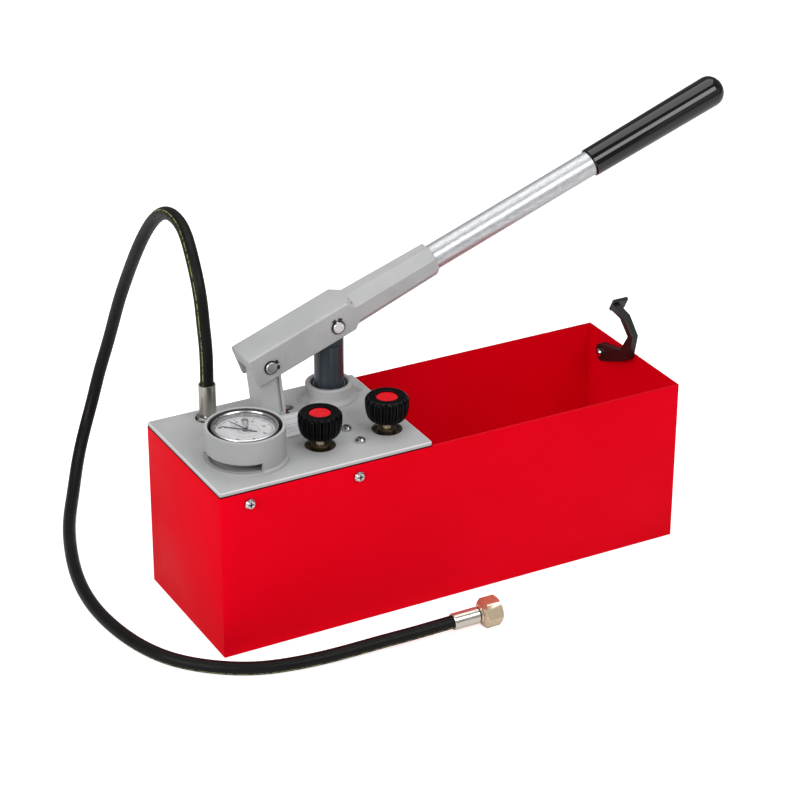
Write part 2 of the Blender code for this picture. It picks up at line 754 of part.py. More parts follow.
def rails():
    """The cast waterways under the plate, as solid bars."""
    half = RAIL_WIDTH / 2
    low = PLATE_UNDER - RAIL_DEPTH
    block_end = VALVE_XS[0] - BLOCK_END - FIT_GAP
    barrel_front = LEVER_Y - BARREL_RADIUS - BARREL_FLANGE - FIT_GAP
    cross = FRONT + RAIL_FROM_FRONT
    return [
        box("rail", (GAUGE_X - half, GAUGE_Y, low), (GAUGE_X + half, HOSE_PORT_Y, PLATE_MIDDLE)),
        box("rail", (GAUGE_X, cross - half, low), (block_end, cross + half, PLATE_MIDDLE)),
        box("rail", (PISTON_X - half, BLOCK_BACK_Y + FIT_GAP, low), (PISTON_X + half, barrel_front, PLATE_MIDDLE)),
    ]


def link_lugs():
    """One block that the link's opening then splits into two lugs."""
    half = CHANNEL_HALF + LINK_LUG_WIDTH
    outline = tongue((LINK_BASE_X, LINK_BASE_Z), LINK_LUG_RADIUS, PLATE_MIDDLE)
    return prism("lugs", outline, LEVER_Y - half, LEVER_Y + half, "Y")


def link_opening():
    centre = LINK_BASE_X - (PLATE_MIDDLE - LINK_BASE_Z) * math.tan(math.radians(LINK_LEAN))
    half = LINK_DEPTH / 2 + LINK_ROOM
    low = (centre - half, LEVER_Y - CHANNEL_HALF, LINK_BASE_Z - LINK_LUG_RADIUS - OVERRUN)
    return box("opening", low, (centre + half, LEVER_Y + CHANNEL_HALF, PLATE_TOP + OVERRUN))


def cylinder_bore():
    profile = [
        (0, PLATE_UNDER - OVERRUN),
        (BOSS_BORE_RADIUS, PLATE_UNDER - OVERRUN),
        (BOSS_BORE_RADIUS, BOSS_TOP - BOSS_LIP),
        (BOSS_BORE_RADIUS + BOSS_LIP * 2, BOSS_TOP + BOSS_LIP),
        (0, BOSS_TOP + BOSS_LIP),
    ]
    return turned("bore", profile, at=(PISTON_X, LEVER_Y))


def through(radius, centre, low, high=PLATE_TOP + OVERRUN, axis="Z", sides=SHAFT_SIDES):
    return rod("hole", radius, low, high, centre, axis, sides)


def make_head_plate():
    outline = rounded(rectangle(LEFT, FRONT, LEFT + PLATE_LENGTH, BACK), PLATE_CORNER)
    plate = soften(prism("head_plate", outline, PLATE_UNDER, PLATE_TOP), PLATE_EDGE)
    gauge = (GAUGE_X, GAUGE_Y)
    port = (HOSE_PORT_X, HOSE_PORT_Y)
    hose_boss_under = PLATE_UNDER - HOSE_BOSS_DROP
    gauge_boss_under = SOCKET_HEX_UNDER - SOCKET_DROP - FIT_GAP - OVERRUN
    join(plate, cylinder_boss(), boss_rib(-1, LEFT_RIB_REACH), boss_rib(1, RIGHT_RIB_REACH), link_lugs())
    join(plate, *(screw_lug(x, wall) for x in TANK_SCREWS_FROM_LEFT for wall in (-1, 1)))
    join(plate, *rails())
    join(plate, rod("boss", HOSE_BOSS_RADIUS, hose_boss_under, PLATE_MIDDLE, port, sides=SHAFT_SIDES))
    join(plate, rod("boss", GAUGE_BOSS_RADIUS, gauge_boss_under, PLATE_MIDDLE, gauge, sides=SHAFT_SIDES))
    join(plate, cup_ring())
    cut(plate, cylinder_bore(), link_opening())
    cut(plate, *(through(VALVE_HOLE_RADIUS, (x, VALVE_Y), PLATE_UNDER - OVERRUN) for x in VALVE_XS))
    cut(plate, through(POCKET_RADIUS, port, POCKET_FLOOR))
    cut(plate, through(ADAPTER_NECK + FIT_GAP, port, hose_boss_under - OVERRUN))
    cut(plate, through(SOCKET_RADIUS + FIT_GAP, gauge, gauge_boss_under - OVERRUN))
    cut(plate, through(DRAIN_RADIUS, (LEFT + DRAIN_FROM_LEFT, LEVER_Y - DRAIN_BEFORE_LEVER), PLATE_UNDER - OVERRUN))
    for from_front in PLATE_SCREWS_FROM_FRONT:
        centre = (LEFT + PLATE_SCREW_FROM_LEFT, FRONT + from_front)
        cut(plate, through(PLATE_SCREW_SHANK / 2 + FIT_GAP, centre, PLATE_UNDER - OVERRUN, sides=SMALL_SIDES))
    for from_left in TANK_SCREWS_FROM_LEFT:
        centre = (LEFT + from_left, tank_screw_z())
        radius = TANK_SCREW_SHANK / 2 + FIT_GAP
        cut(plate, through(radius, centre, FRONT - OVERRUN, BACK + OVERRUN, "Y", SMALL_SIDES))
    half = CHANNEL_HALF + LINK_LUG_WIDTH + OVERRUN
    centre = (LINK_BASE_X, LINK_BASE_Z)
    cut(plate, through(PIN_HOLE_RADIUS, centre, LEVER_Y - half, LEVER_Y + half, "Y"))
    cup = CUP_INSIDE + CUP_WALL + CUP_FOOT + OVERRUN
    low = (GAUGE_X - cup, GAUGE_Y - cup, PLATE_TOP + CUP_SLOT_RISE)
    high = (GAUGE_X, GAUGE_Y + CUP_SLOT_BEHIND, PLATE_TOP + CUP_SLOT_RISE + CUP_SLOT_HEIGHT)
    cut(plate, box("slot", low, high))
    return finish(plate, CAST_GREY)


def make_plate_screws():
    for i, from_front in enumerate(PLATE_SCREWS_FROM_FRONT):
        piece = screw(f"plate_screw_{i + 1}", PLATE_SCREW_SHANK, PLATE_SCREW_HEAD, PLATE_SCREW_REACH, "Z", 1)
        piece.location = (LEFT + PLATE_SCREW_FROM_LEFT, FRONT + from_front, PLATE_TOP)
        finish(piece, ZINC)


def make_label():
    left = LEFT + LABEL_FROM_LEFT
    front = VALVE_Y + VALVE_HOLE_RADIUS + LABEL_BEHIND_VALVE_HOLE
    back = LEVER_Y - CHANNEL_HALF - LABEL_BEFORE_LINK
    outline = rounded(rectangle(left, front, left + LABEL_LENGTH, back), LABEL_CORNER)
    low = PLATE_TOP + FIT_GAP
    finish(prism("label_plate", outline, low, low + LABEL_THICKNESS), LABEL_SILVER)


# Gauge


def make_gauge_housing():
    case = GAUGE_DIAMETER / 2
    inside = case - CASE_WALL
    neck = SOCKET_NECK + FIT_GAP
    profile = [
        (neck, CASE_UNDER),
        (case, CASE_UNDER),
        (case, CASE_RIM),
        (inside, CASE_RIM),
        (inside, CASE_UNDER + CASE_WALL),
        (neck, CASE_UNDER + CASE_WALL),
    ]
    centre = (GAUGE_X, GAUGE_Y)
    finish(turned("gauge_case", profile, at=centre), DARK_STEEL)
    outer = case + BEZEL_OVERLAP
    bore = case + FIT_GAP
    lip = outer - BEZEL_LIP_REACH
    profile = [
        (bore, BEZEL_TOP - BEZEL_HEIGHT),
        (outer, BEZEL_TOP - BEZEL_HEIGHT),
        (outer, BEZEL_TOP - BEZEL_ROUND),
        (outer - BEZEL_ROUND / 3, BEZEL_TOP - BEZEL_ROUND / 3),
        (outer - BEZEL_ROUND, BEZEL_TOP),
        (lip + BEZEL_ROUND / 2, BEZEL_TOP),
        (lip, BEZEL_TOP - BEZEL_LIP),
        (bore, BEZEL_TOP - BEZEL_LIP),
    ]
    finish(turned("gauge_bezel", profile, at=centre), CHROME)
    hole = STAFF_RADIUS + STAFF_ROOM
    profile = [(hole, WINDOW_UNDER), (case, WINDOW_UNDER), (case, WINDOW_TOP), (hole, WINDOW_TOP)]
    finish(turned("gauge_window", profile, at=centre), CLEAR)
    face = inside - FIT_GAP
    profile = [(hole, DIAL_UNDER), (face, DIAL_UNDER), (face, DIAL_TOP), (hole, DIAL_TOP)]
    finish(turned("gauge_dial", profile, at=centre), WHITE)


def make_gauge_socket():
    """The threaded stub, the hexagon under the case and the arm that carries the Bourdon tube."""
    low = SOCKET_HEX_UNDER - SOCKET_DROP
    profile = [
        (0, low),
        (SOCKET_RADIUS, low),
        (SOCKET_RADIUS, SOCKET_HEX_UNDER + SOCKET_HEX_HEIGHT / 2),
        (SOCKET_NECK, SOCKET_HEX_UNDER + SOCKET_HEX_HEIGHT / 2),
        (SOCKET_NECK, ARM_UNDER + ARM_HEIGHT / 2),
        (0, ARM_UNDER + ARM_HEIGHT / 2),
    ]
    socket = turned("gauge_socket", profile, SHAFT_SIDES)
    join(socket, prism("hex", hexagon(SOCKET_FLATS), SOCKET_HEX_UNDER, SOCKET_HEX_UNDER + SOCKET_HEX_HEIGHT))
    join(socket, box("arm", (-ARM_TAIL, -ARM_WIDTH / 2, ARM_UNDER), (ARM_LENGTH, ARM_WIDTH / 2, ARM_TOP)))
    cut(socket, rod("bore", SOCKET_BORE, low - OVERRUN, ARM_UNDER + ARM_HEIGHT / 2, sides=SMALL_SIDES))
    socket.location = (GAUGE_X, GAUGE_Y, 0)
    finish(socket, BRASS)


def make_bourdon_tube():
    """A C-shaped tube that starts beside the socket's arm."""
    inner = BOURDON_RADIUS - BOURDON_BREADTH / 2
    start = math.degrees(math.asin((ARM_WIDTH / 2 + FIT_GAP) / inner))
    low = ARM_UNDER + (ARM_HEIGHT - BOURDON_HEIGHT) / 2
    end = start + BOURDON_SWEEP
    outline = arc((0, 0), BOURDON_RADIUS + BOURDON_BREADTH / 2, start, end, BOURDON_STEPS)
    outline += arc((0, 0), inner, end, start, BOURDON_STEPS)
    tube = prism("bourdon_tube", outline, low, low + BOURDON_HEIGHT)
    tube.location = (GAUGE_X, GAUGE_Y, 0)
    finish(tube, BRASS)


def make_gauge_movement():
    low = ARM_TOP + FIT_GAP
    high = DIAL_UNDER - FIT_GAP
    plates = ((low, low + MOVEMENT_PLATE), (high - MOVEMENT_PLATE, high))
    movement, upper = (rod("gauge_movement", MOVEMENT_RADIUS, *ends, sides=SHAFT_SIDES) for ends in plates)
    for i in range(PILLAR_COUNT):
        angle = math.tau * i / PILLAR_COUNT
        centre = (PILLAR_CIRCLE * math.cos(angle), PILLAR_CIRCLE * math.sin(angle))
        join(movement, rod("pillar", PILLAR_RADIUS, low + MOVEMENT_PLATE / 2, high - MOVEMENT_PLATE / 2, centre, sides=12))
    join(movement, upper)
    hole = STAFF_RADIUS + STAFF_ROOM
    cut(movement, rod("hole", hole, low + MOVEMENT_PLATE + FIT_GAP, high + OVERRUN, sides=SMALL_SIDES))
    movement.location = (GAUGE_X, GAUGE_Y, 0)
    finish(movement, BRASS)


def needle(name, length, tail, angle, low, hub_low, hub_high):
    """A tapered hand with its hub, pointing along the given angle."""
    outline = [
        (-tail, -POINTER_WIDTH / 2),
        (0, -POINTER_WIDTH / 2),
        (length, -POINTER_WIDTH / 10),
        (length, POINTER_WIDTH / 10),
        (0, POINTER_WIDTH / 2),
        (-tail, POINTER_WIDTH / 2),
    ]
    hand = prism(name, outline, low, low + POINTER_THICKNESS)
    join(hand, rod("hub", POINTER_HUB, hub_low, hub_high, sides=SMALL_SIDES))
    hand.rotation_euler = (0, 0, math.radians(angle))
    return hand


def make_pointers():
    axis = joint_frame("pointer_axis", (GAUGE_X, GAUGE_Y, 0))
    low = DIAL_TOP + FIT_GAP
    high = low + POINTER_HUB_HEIGHT
    staff_end = ARM_TOP + (DIAL_UNDER - ARM_TOP) / 2
    middle = (high - low - POINTER_THICKNESS) / 2
    hand = needle("gauge_pointer", POINTER_LENGTH, POINTER_TAIL, POINTER_ANGLE, low + middle, low, high)
    join(hand, rod("staff", STAFF_RADIUS, staff_end, high - POINTER_THICKNESS / 2, sides=SMALL_SIDES))
    finish(hand, BLACK_METAL, axis)
    axis = joint_frame("max_pointer_axis", (GAUGE_X, GAUGE_Y, 0))
    hub_high = WINDOW_UNDER - FIT_GAP
    hub_low = high + FIT_GAP
    low = hub_low + (hub_high - hub_low - POINTER_THICKNESS) / 2
    hand = needle("max_pointer", MAX_POINTER_LENGTH, 0, MAX_POINTER_ANGLE, low, hub_low, hub_high)
    knob = WINDOW_TOP + FIT_GAP
    join(hand, rod("spindle", STAFF_RADIUS, (hub_low + hub_high) / 2, knob + RESET_KNOB_HEIGHT / 2, sides=SMALL_SIDES))
    join(hand, rod("knob", RESET_KNOB_RADIUS, knob, knob + RESET_KNOB_HEIGHT, sides=SMALL_SIDES))
    finish(hand, BLACK_METAL, axis)


# Valves


def make_valve_block():
    low = (VALVE_XS[0] - BLOCK_END, BLOCK_FRONT_Y, BLOCK_UNDER)
    block = soften(box("valve_block", low, (VALVE_XS[1] + BLOCK_END, BLOCK_BACK_Y, BLOCK_TOP)), BLOCK_EDGE)
    top = BLOCK_TOP + OVERRUN
    for x in VALVE_XS:
        cut(block, rod("gland", GLAND_RADIUS + FIT_GAP, BLOCK_TOP - GLAND_DEPTH, top, (x, VALVE_Y)))
        cut(block, rod("bore", STEM_RADIUS + FIT_GAP, PASSAGE_Z, top, (x, VALVE_Y), sides=SHAFT_SIDES))
    ends = (low[0] - OVERRUN, VALVE_XS[1] + BLOCK_END + OVERRUN)
    cut(block, rod("passage", PASSAGE_RADIUS, *ends, (VALVE_Y, PASSAGE_Z), "X", SMALL_SIDES))
    for from_front in PLATE_SCREWS_FROM_FRONT:
        centre = (LEFT + PLATE_SCREW_FROM_LEFT, FRONT + from_front)
        floor = PLATE_TOP - PLATE_SCREW_REACH - FIT_GAP
        cut(block, rod("hole", PLATE_SCREW_SHANK / 2 + FIT_GAP, floor, top, centre, sides=SMALL_SIDES))
    return finish(block, BRASS)


def gland(name):
    base = BLOCK_TOP + FIT_GAP
    flange = base + GLAND_FLANGE
    collar = base + GLAND_COLLAR_HEIGHT
    bore = STEM_RADIUS + FIT_GAP
    profile = [
        (bore, BLOCK_TOP - GLAND_DEPTH + FIT_GAP),
        (GLAND_RADIUS, BLOCK_TOP - GLAND_DEPTH + FIT_GAP),
        (GLAND_RADIUS, base),
        (GLAND_FLANGE_RADIUS, base),
        (GLAND_FLANGE_RADIUS, flange),
        (GLAND_FLANGE_RADIUS - GLAND_RIM, flange),
        (GLAND_FLANGE_RADIUS - GLAND_RIM, flange - GLAND_GROOVE),
        (GLAND_COLLAR_RADIUS, flange - GLAND_GROOVE),
        (GLAND_COLLAR_RADIUS, collar - GLAND_GROOVE),
        (GLAND_COLLAR_RADIUS - GLAND_GROOVE, collar),
        (bore, collar),
    ]
    return turned(name, profile, SHAFT_SIDES)


def stem(name):
    low = PASSAGE_Z + PASSAGE_RADIUS + FIT_GAP
    profile = [(0, low), (STEM_TIP_RADIUS, low), (STEM_RADIUS, low + STEM_TAPER), (STEM_RADIUS, STEM_TOP), (0, STEM_TOP)]
    return turned(name, profile, SHAFT_SIDES)


def fluted_ring(radius, depth, height):
    """One level of the knob: each flute is a land and the bottom of the groove beside it."""
    ring = []
    for i in range(KNOB_FLUTES):
        for share, sunk in ((0, 0), (FLUTE_LAND_SHARE, 0), ((1 + FLUTE_LAND_SHARE) / 2, depth)):
            angle = math.tau * (i + share) / KNOB_FLUTES
            ring.append(((radius - sunk) * math.cos(angle), (radius - sunk) * math.sin(angle), height))
    return ring


def knob(name):
    levels = [
        (KNOB_RADIUS * radius, KNOB_FLUTE_DEPTH * depth, KNOB_UNDER + KNOB_HEIGHT * height)
        for height, radius, depth in KNOB_LEVEL_SHARES
    ]
    body = loft(name, [fluted_ring(*level) for level in levels])
    cut(body, rod("recess", CAP_RADIUS + FIT_GAP, KNOB_TOP - CAP_RECESS, KNOB_TOP + OVERRUN))
    cut(body, rod("bore", STEM_RADIUS + FIT_GAP, KNOB_UNDER - OVERRUN, STEM_TOP + FIT_GAP, sides=SHAFT_SIDES))
    return body


def knob_cap(name):
    low = KNOB_TOP - CAP_RECESS + FIT_GAP
    high = low + CAP_THICKNESS
    edge = CAP_THICKNESS / 3
    profile = [(0, low), (CAP_RADIUS, low), (CAP_RADIUS, high - edge), (CAP_RADIUS - edge, high), (0, high)]
    return turned(name, profile)


def make_valves():
    for i, x in enumerate(VALVE_XS):
        number = i + 1
        seat = gland(f"valve_gland_{number}")
        seat.location = (x, VALVE_Y, 0)
        finish(seat, BRASS)
        axis = joint_frame(f"valve_axis_{number}", (x, VALVE_Y, 0))
        finish(stem(f"valve_stem_{number}"), BRASS, axis)
        finish(knob(f"knob_{number}"), BLACK_PLASTIC, axis)
        finish(knob_cap(f"knob_cap_{number}"), RED_PLASTIC, axis)


# Pump cylinder


def make_barrel():
    flange = BARREL_RADIUS + BARREL_FLANGE
    high = PLATE_UNDER - FIT_GAP
    profile = [
        (BORE_RADIUS, BARREL_UNDER),
        (BARREL_RADIUS, BARREL_UNDER),
        (BARREL_RADIUS, high - BARREL_FLANGE_HEIGHT),
        (flange, high - BARREL_FLANGE_HEIGHT),
        (flange, high),
        (BARREL_RADIUS, high),
        (BARREL_RADIUS, BARREL_TOP),
        (BORE_RADIUS, BARREL_TOP),
    ]
    finish(turned("pump_barrel", profile, at=(PISTON_X, LEVER_Y)), DARK_STEEL)
    low = SCRAPER_TOP - SCRAPER_HEIGHT
    lip = BORE_RADIUS + SCRAPER_LIP
    profile = [
        (BORE_RADIUS, low),
        (BARREL_RADIUS, low),
        (BARREL_RADIUS, SCRAPER_TOP - SCRAPER_LIP),
        (lip + SCRAPER_LIP, SCRAPER_TOP - SCRAPER_LIP),
        (lip, SCRAPER_TOP),
        (BORE_RADIUS, SCRAPER_TOP),
    ]
    finish(turned("scraper_ring", profile, at=(PISTON_X, LEVER_Y)), RUBBER)


def make_foot_valve():
    body = BARREL_RADIUS
    spigot = BORE_RADIUS - FIT_GAP
    high = BARREL_UNDER + SPIGOT_HEIGHT
    room_top = BALL_SEAT_Z + BALL_ROOM_HEIGHT
    profile = [
        (WATERWAY_RADIUS, NOZZLE_UNDER),
        (NOZZLE_RADIUS, NOZZLE_UNDER),
        (NOZZLE_RADIUS, FOOT_UNDER),
        (body, FOOT_UNDER),
        (body, FOOT_TOP),
        (spigot, FOOT_TOP),
        (spigot, high),
        (WATERWAY_RADIUS, high),
        (WATERWAY_RADIUS, room_top),
        (BALL_ROOM_RADIUS, room_top),
        (BALL_ROOM_RADIUS, BALL_SEAT_Z),
        (WATERWAY_RADIUS, BALL_SEAT_Z),
    ]
    finish(turned("foot_valve", profile, at=(PISTON_X, LEVER_Y)), BRASS)
    rest = BALL_RADIUS + FIT_GAP
    centre = BALL_SEAT_Z + math.sqrt(rest**2 - WATERWAY_RADIUS**2)
    profile = arc((0, centre), BALL_RADIUS, -90, 90, SMALL_SIDES // 2)
    profile[0] = (0, profile[0][1])
    profile[-1] = (0, profile[-1][1])
    finish(turned("inlet_ball", profile, SMALL_SIDES, at=(PISTON_X, LEVER_Y)), CHROME)


def make_strainer():
    inside = STRAINER_RADIUS - STRAINER_WALL
    mouth = NOZZLE_RADIUS + FIT_GAP
    profile = [
        (0, STRAINER_UNDER),
        (STRAINER_RADIUS, STRAINER_UNDER),
        (STRAINER_RADIUS, STRAINER_TOP),
        (mouth, STRAINER_TOP),
        (mouth, STRAINER_TOP - STRAINER_WALL),
        (inside, STRAINER_TOP - STRAINER_WALL),
        (inside, STRAINER_UNDER + STRAINER_WALL),
        (0, STRAINER_UNDER + STRAINER_WALL),
    ]
    strainer = turned("inlet_strainer", profile, SHAFT_SIDES)
    low = STRAINER_UNDER + STRAINER_HEIGHT / 6
    high = STRAINER_TOP - STRAINER_HEIGHT / 4
    reach = STRAINER_RADIUS + OVERRUN
    half = STRAINER_SLOT_WIDTH / 2
    for i in range(STRAINER_SLOTS):
        slot = box("slot", (-reach, -half, low), (reach, half, high))
        slot.rotation_euler = (0, 0, math.pi * (i + 0.5) / STRAINER_SLOTS)
        cut(strainer, slot)
    strainer.location = (PISTON_X, LEVER_Y, 0)
    finish(strainer, BRASS)


def stadium(start, end, radius, steps=SHAFT_SIDES // 2):
    """The outline that a circle sweeps from one centre to another."""
    heading = math.degrees(math.atan2(end[1] - start[1], end[0] - start[0]))
    far = arc(end, radius, heading - 90, heading + 90, steps)
    return far + arc(start, radius, heading + 90, heading + 270, steps)


def head_waste():
    """What is cut off above the piston's head, which follows the slot at one wall's distance."""
    drift = (-PIN_DRIFT_BACK, -PIN_DRIFT_DOWN)
    radius = PIN_RADIUS + SLOT_CLEARANCE + HEAD_WALL
    slope = math.degrees(math.atan2(PIN_DRIFT_DOWN, PIN_DRIFT_BACK))
    width = PISTON_RADIUS + OVERRUN
    shoulder = PISTON_RADIUS - radius
    path = arc(drift, radius, 180, 90 + slope, CORNER_STEPS)
    path += arc((0, 0), radius, 90 + slope, 0, CORNER_STEPS * 2)
    path += [(radius, shoulder - FULL_ROD_BELOW_PIN), (PISTON_RADIUS, -FULL_ROD_BELOW_PIN), (width, -FULL_ROD_BELOW_PIN)]
    path += [(width, width), (-width, width), (-width, drift[1])]
    return prism("waste", path, -width, width, "Y")


def make_piston(axis):
    groove_low = -PISTON_LENGTH + SEAL_GROOVE_RISE
    groove_high = groove_low + SEAL_HEIGHT + 2 * FIT_GAP
    groove = PISTON_RADIUS - SEAL_GROOVE_DEPTH
    top = PIN_RADIUS + SLOT_CLEARANCE + HEAD_WALL + OVERRUN
    profile = [
        (0, -PISTON_LENGTH),
        (PISTON_RADIUS - PISTON_CHAMFER, -PISTON_LENGTH),
        (PISTON_RADIUS, -PISTON_LENGTH + PISTON_CHAMFER),
        (PISTON_RADIUS, groove_low),
        (groove, groove_low),
        (groove, groove_high),
        (PISTON_RADIUS, groove_high),
        (PISTON_RADIUS, top),
        (0, top),
    ]
    piston = turned("piston", profile)
    width = PISTON_RADIUS + OVERRUN
    for side in (-1, 1):
        ends = sorted((side * PISTON_FLATS / 2, side * width))
        cut(piston, box("flat", (-width, ends[0], -FLATS_BELOW_PIN), (width, ends[1], width)))
    cut(piston, head_waste())
    slot = stadium((-PIN_DRIFT_BACK, -PIN_DRIFT_DOWN), (0, 0), PIN_RADIUS + SLOT_CLEARANCE)
    cut(piston, prism("slot", slot, -width, width, "Y"))
    finish(piston, PISTON_STEEL, axis)
    inner = groove + FIT_GAP
    low = groove_low + FIT_GAP
    high = low + SEAL_HEIGHT
    profile = [(inner, low), (PISTON_RADIUS, low), (PISTON_RADIUS, high), (inner, high)]
    finish(turned("piston_seal", profile), RUBBER, axis)


# Linkage


def make_link(axis):
    """Stands on its base pin, with the lever's first pin in its upper eye."""
    half = LINK_WIDTH / 2
    base = LINK_DEPTH / 2
    outline = arc((0, 0), base, 180, 360, SHAFT_SIDES // 2)
    outline += [(base, LINK_LENGTH - LINK_EYE_RADIUS)]
    outline += arc((0, LINK_LENGTH), LINK_EYE_RADIUS, -20, 200, SHAFT_SIDES // 2)
    outline += [(-base, LINK_LENGTH - LINK_EYE_RADIUS)]
    link = prism("link", outline, -half, half, "Y")
    for height in (0, LINK_LENGTH):
        cut(link, rod("hole", PIN_HOLE_RADIUS, -half - OVERRUN, half + OVERRUN, (0, height), "Y", SHAFT_SIDES))
    groove = rectangle(
        LINK_GROOVE_OFFSET,
        LINK_GROOVE_END,
        LINK_GROOVE_OFFSET + LINK_GROOVE_WIDTH,
        LINK_LENGTH - LINK_GROOVE_END,
    )
    for side in (-1, 1):
        ends = sorted((side * (half - LINK_GROOVE_DEPTH), side * (half + OVERRUN)))
        cut(link, prism("groove", rounded(groove, LINK_GROOVE_WIDTH / 3, 2), *ends, "Y"))
    finish(link, CAST_GREY, axis)


def make_link_pin():
    half = CHANNEL_HALF + LINK_LUG_WIDTH
    head = -half - FIT_GAP
    profile = [
        (0, head - LINK_PIN_HEAD_HEIGHT),
        (LINK_PIN_HEAD, head - LINK_PIN_HEAD_HEIGHT),
        (LINK_PIN_HEAD, head),
        (PIN_RADIUS, head),
        (PIN_RADIUS, half + PIN_END - PIN_CHAMFER),
        (PIN_RADIUS - PIN_CHAMFER, half + PIN_END),
        (0, half + PIN_END),
    ]
    pin = turned("link_pin", profile, SHAFT_SIDES, "Y")
    pin.location = (LINK_BASE_X, LEVER_Y, LINK_BASE_Z)
    finish(pin, ZINC)


def chamfered(half, low, high, corner, along):
    """A section of the lever: a rectangle with cut corners, which is an octagon at its widest corner."""
    return [
        (along, -half + corner, low),
        (along, half - corner, low),
        (along, half, low + corner),
        (along, half, high - corner),
        (along, half - corner, high),
        (along, -half + corner, high),
        (along, -half, high - corner),
        (along, -half, low + corner),
    ]


def octagon(flats, along):
    half = flats / 2
    return chamfered(half, -half, half, half * (1 - math.tan(math.pi / 8)), along)


def make_lever_casting(axis):
    body_end = PIN_SPACING + LEVER_NOSE
    inset = LEVER_EDGE
    sections = [
        chamfered(BODY_HALF - inset, -LEVER_BELOW + inset, LEVER_ABOVE - inset, inset, -LEVER_TAIL),
        chamfered(BODY_HALF, -LEVER_BELOW, LEVER_ABOVE, inset, -LEVER_TAIL + inset),
        chamfered(BODY_HALF, -LEVER_BELOW, LEVER_ABOVE, inset, body_end),
        octagon(NECK_FLATS, NECK_START),
        octagon(NECK_TIP_FLATS, NECK_END - inset),
        octagon(NECK_TIP_FLATS - 2 * inset, NECK_END),
    ]
    casting = loft("lever_casting", sections)
    depth = LEVER_BELOW + SHOULDER
    roof = LEVER_ABOVE - ROOF
    start = -LEVER_TAIL + TAIL_WALL
    channel = rectangle(-CHANNEL_HALF, -depth, CHANNEL_HALF, roof)
    cut(casting, prism("channel", rounded(channel, CHANNEL_ROUND), start, body_end + CHANNEL_PAST_NOSE, "X"))
    arch = rounded(rectangle(-CHANNEL_HALF, -depth, CHANNEL_HALF, TAIL_ARCH_ABOVE), TAIL_ARCH_ROUND)
    cut(casting, prism("arch", arch, -LEVER_TAIL - OVERRUN, start + OVERRUN, "X"))
    cut(casting, rod("socket", TUBE_HOLE_RADIUS, TUBE_START - FIT_GAP, NECK_END + OVERRUN, axis="X"))
    width = BODY_HALF + OVERRUN
    for along in (0, PIN_SPACING):
        cut(casting, rod("hole", PIN_HOLE_RADIUS, -width, width, (along, 0), "Y", SHAFT_SIDES))
    finish(casting, CAST_GREY, axis)


def make_lever_tube(axis):
    inner = TUBE_RADIUS - TUBE_WALL
    profile = [(inner, TUBE_START), (TUBE_RADIUS, TUBE_START), (TUBE_RADIUS, TUBE_END), (inner, TUBE_END)]
    finish(turned("lever_tube", profile, axis="X"), ZINC, axis)


def make_grip(axis):
    dome_start = GRIP_END - GRIP_DOME
    dome = [
        (GRIP_TIP_RADIUS * math.cos(a), dome_start + GRIP_DOME * math.sin(a))
        for a in (math.pi / 2 * i / DOME_STEPS for i in range(DOME_STEPS))
    ]
    profile = [
        (0, TUBE_END + FIT_GAP),
        (TUBE_HOLE_RADIUS, TUBE_END + FIT_GAP),
        (TUBE_HOLE_RADIUS, GRIP_START),
        (GRIP_RADIUS - GRIP_EDGE, GRIP_START),
        (GRIP_RADIUS, GRIP_START + GRIP_EDGE),
        *dome,
        (0, GRIP_END),
    ]
    finish(turned("grip", profile, axis="X"), GLOSS_BLACK, axis)


def pin(name, along):
    """Crosses the lever, with a circlip's groove outside each cheek."""
    groove = PIN_RADIUS - GROOVE_DEPTH
    inner = BODY_HALF
    outer = inner + CIRCLIP_THICKNESS + 2 * FIT_GAP
    end = outer + PIN_END
    half = [
        (PIN_RADIUS, inner),
        (groove, inner),
        (groove, outer),
        (PIN_RADIUS, outer),
        (PIN_RADIUS, end - PIN_CHAMFER),
        (PIN_RADIUS - PIN_CHAMFER, end),
        (0, end),
    ]
    profile = [(radius, -place) for radius, place in reversed(half)] + half
    body = turned(name, profile, SHAFT_SIDES, "Y")
    body.location = (along, 0, 0)
    return body


def circlip(name, along, side, opening):
    """A C-shaped ring in the pin's groove, with an ear at each end."""
    inner = PIN_RADIUS - GROOVE_DEPTH + FIT_GAP
    outer = inner + CIRCLIP_BREADTH
    ear = outer + CIRCLIP_EAR
    start = opening + CIRCLIP_GAP / 2
    end = opening + 360 - CIRCLIP_GAP / 2
    outline = arc((0, 0), ear, start, start + CIRCLIP_EAR_ANGLE, 2)
    outline += arc((0, 0), outer, start + CIRCLIP_EAR_ANGLE, end - CIRCLIP_EAR_ANGLE, CIRCLIP_STEPS)
    outline += arc((0, 0), ear, end - CIRCLIP_EAR_ANGLE, end, 2)
    outline += arc((0, 0), inner, end, start, CIRCLIP_STEPS)
    near = BODY_HALF + FIT_GAP
    ends = sorted((side * near, side * (near + CIRCLIP_THICKNESS)))
    ring = prism(name, outline, *ends, "Y")
    ring.location = (along, 0, 0)
    return ring


def make_pins(axis):
    pins = (("lever_pin", 0, LINK_PIN_EARS), ("piston_pin", PIN_SPACING, PISTON_PIN_EARS))
    number = 0
    for name, along, opening in pins:
        finish(pin(name, along), ZINC, axis)
        for side in (-1, 1):
            number += 1
            finish(circlip(f"circlip_{number}", along, side, opening), BLACK_METAL, axis)


def make_linkage():
    base = joint_frame("link_axis", (LINK_BASE_X, LEVER_Y, LINK_BASE_Z), (0, -math.radians(LINK_LEAN), 0))
    make_link(base)
    make_link_pin()
    lever = joint_frame("lever_axis", (LINK_TOP_X, LEVER_Y, LINK_TOP_Z), (0, -math.radians(LEVER_ANGLE), 0))
    make_lever_casting(lever)
    make_lever_tube(lever)
    make_grip(lever)
    make_pins(lever)
    make_piston(joint_frame("piston_axis", (PISTON_X, LEVER_Y, PISTON_PIN_Z)))


# Hook


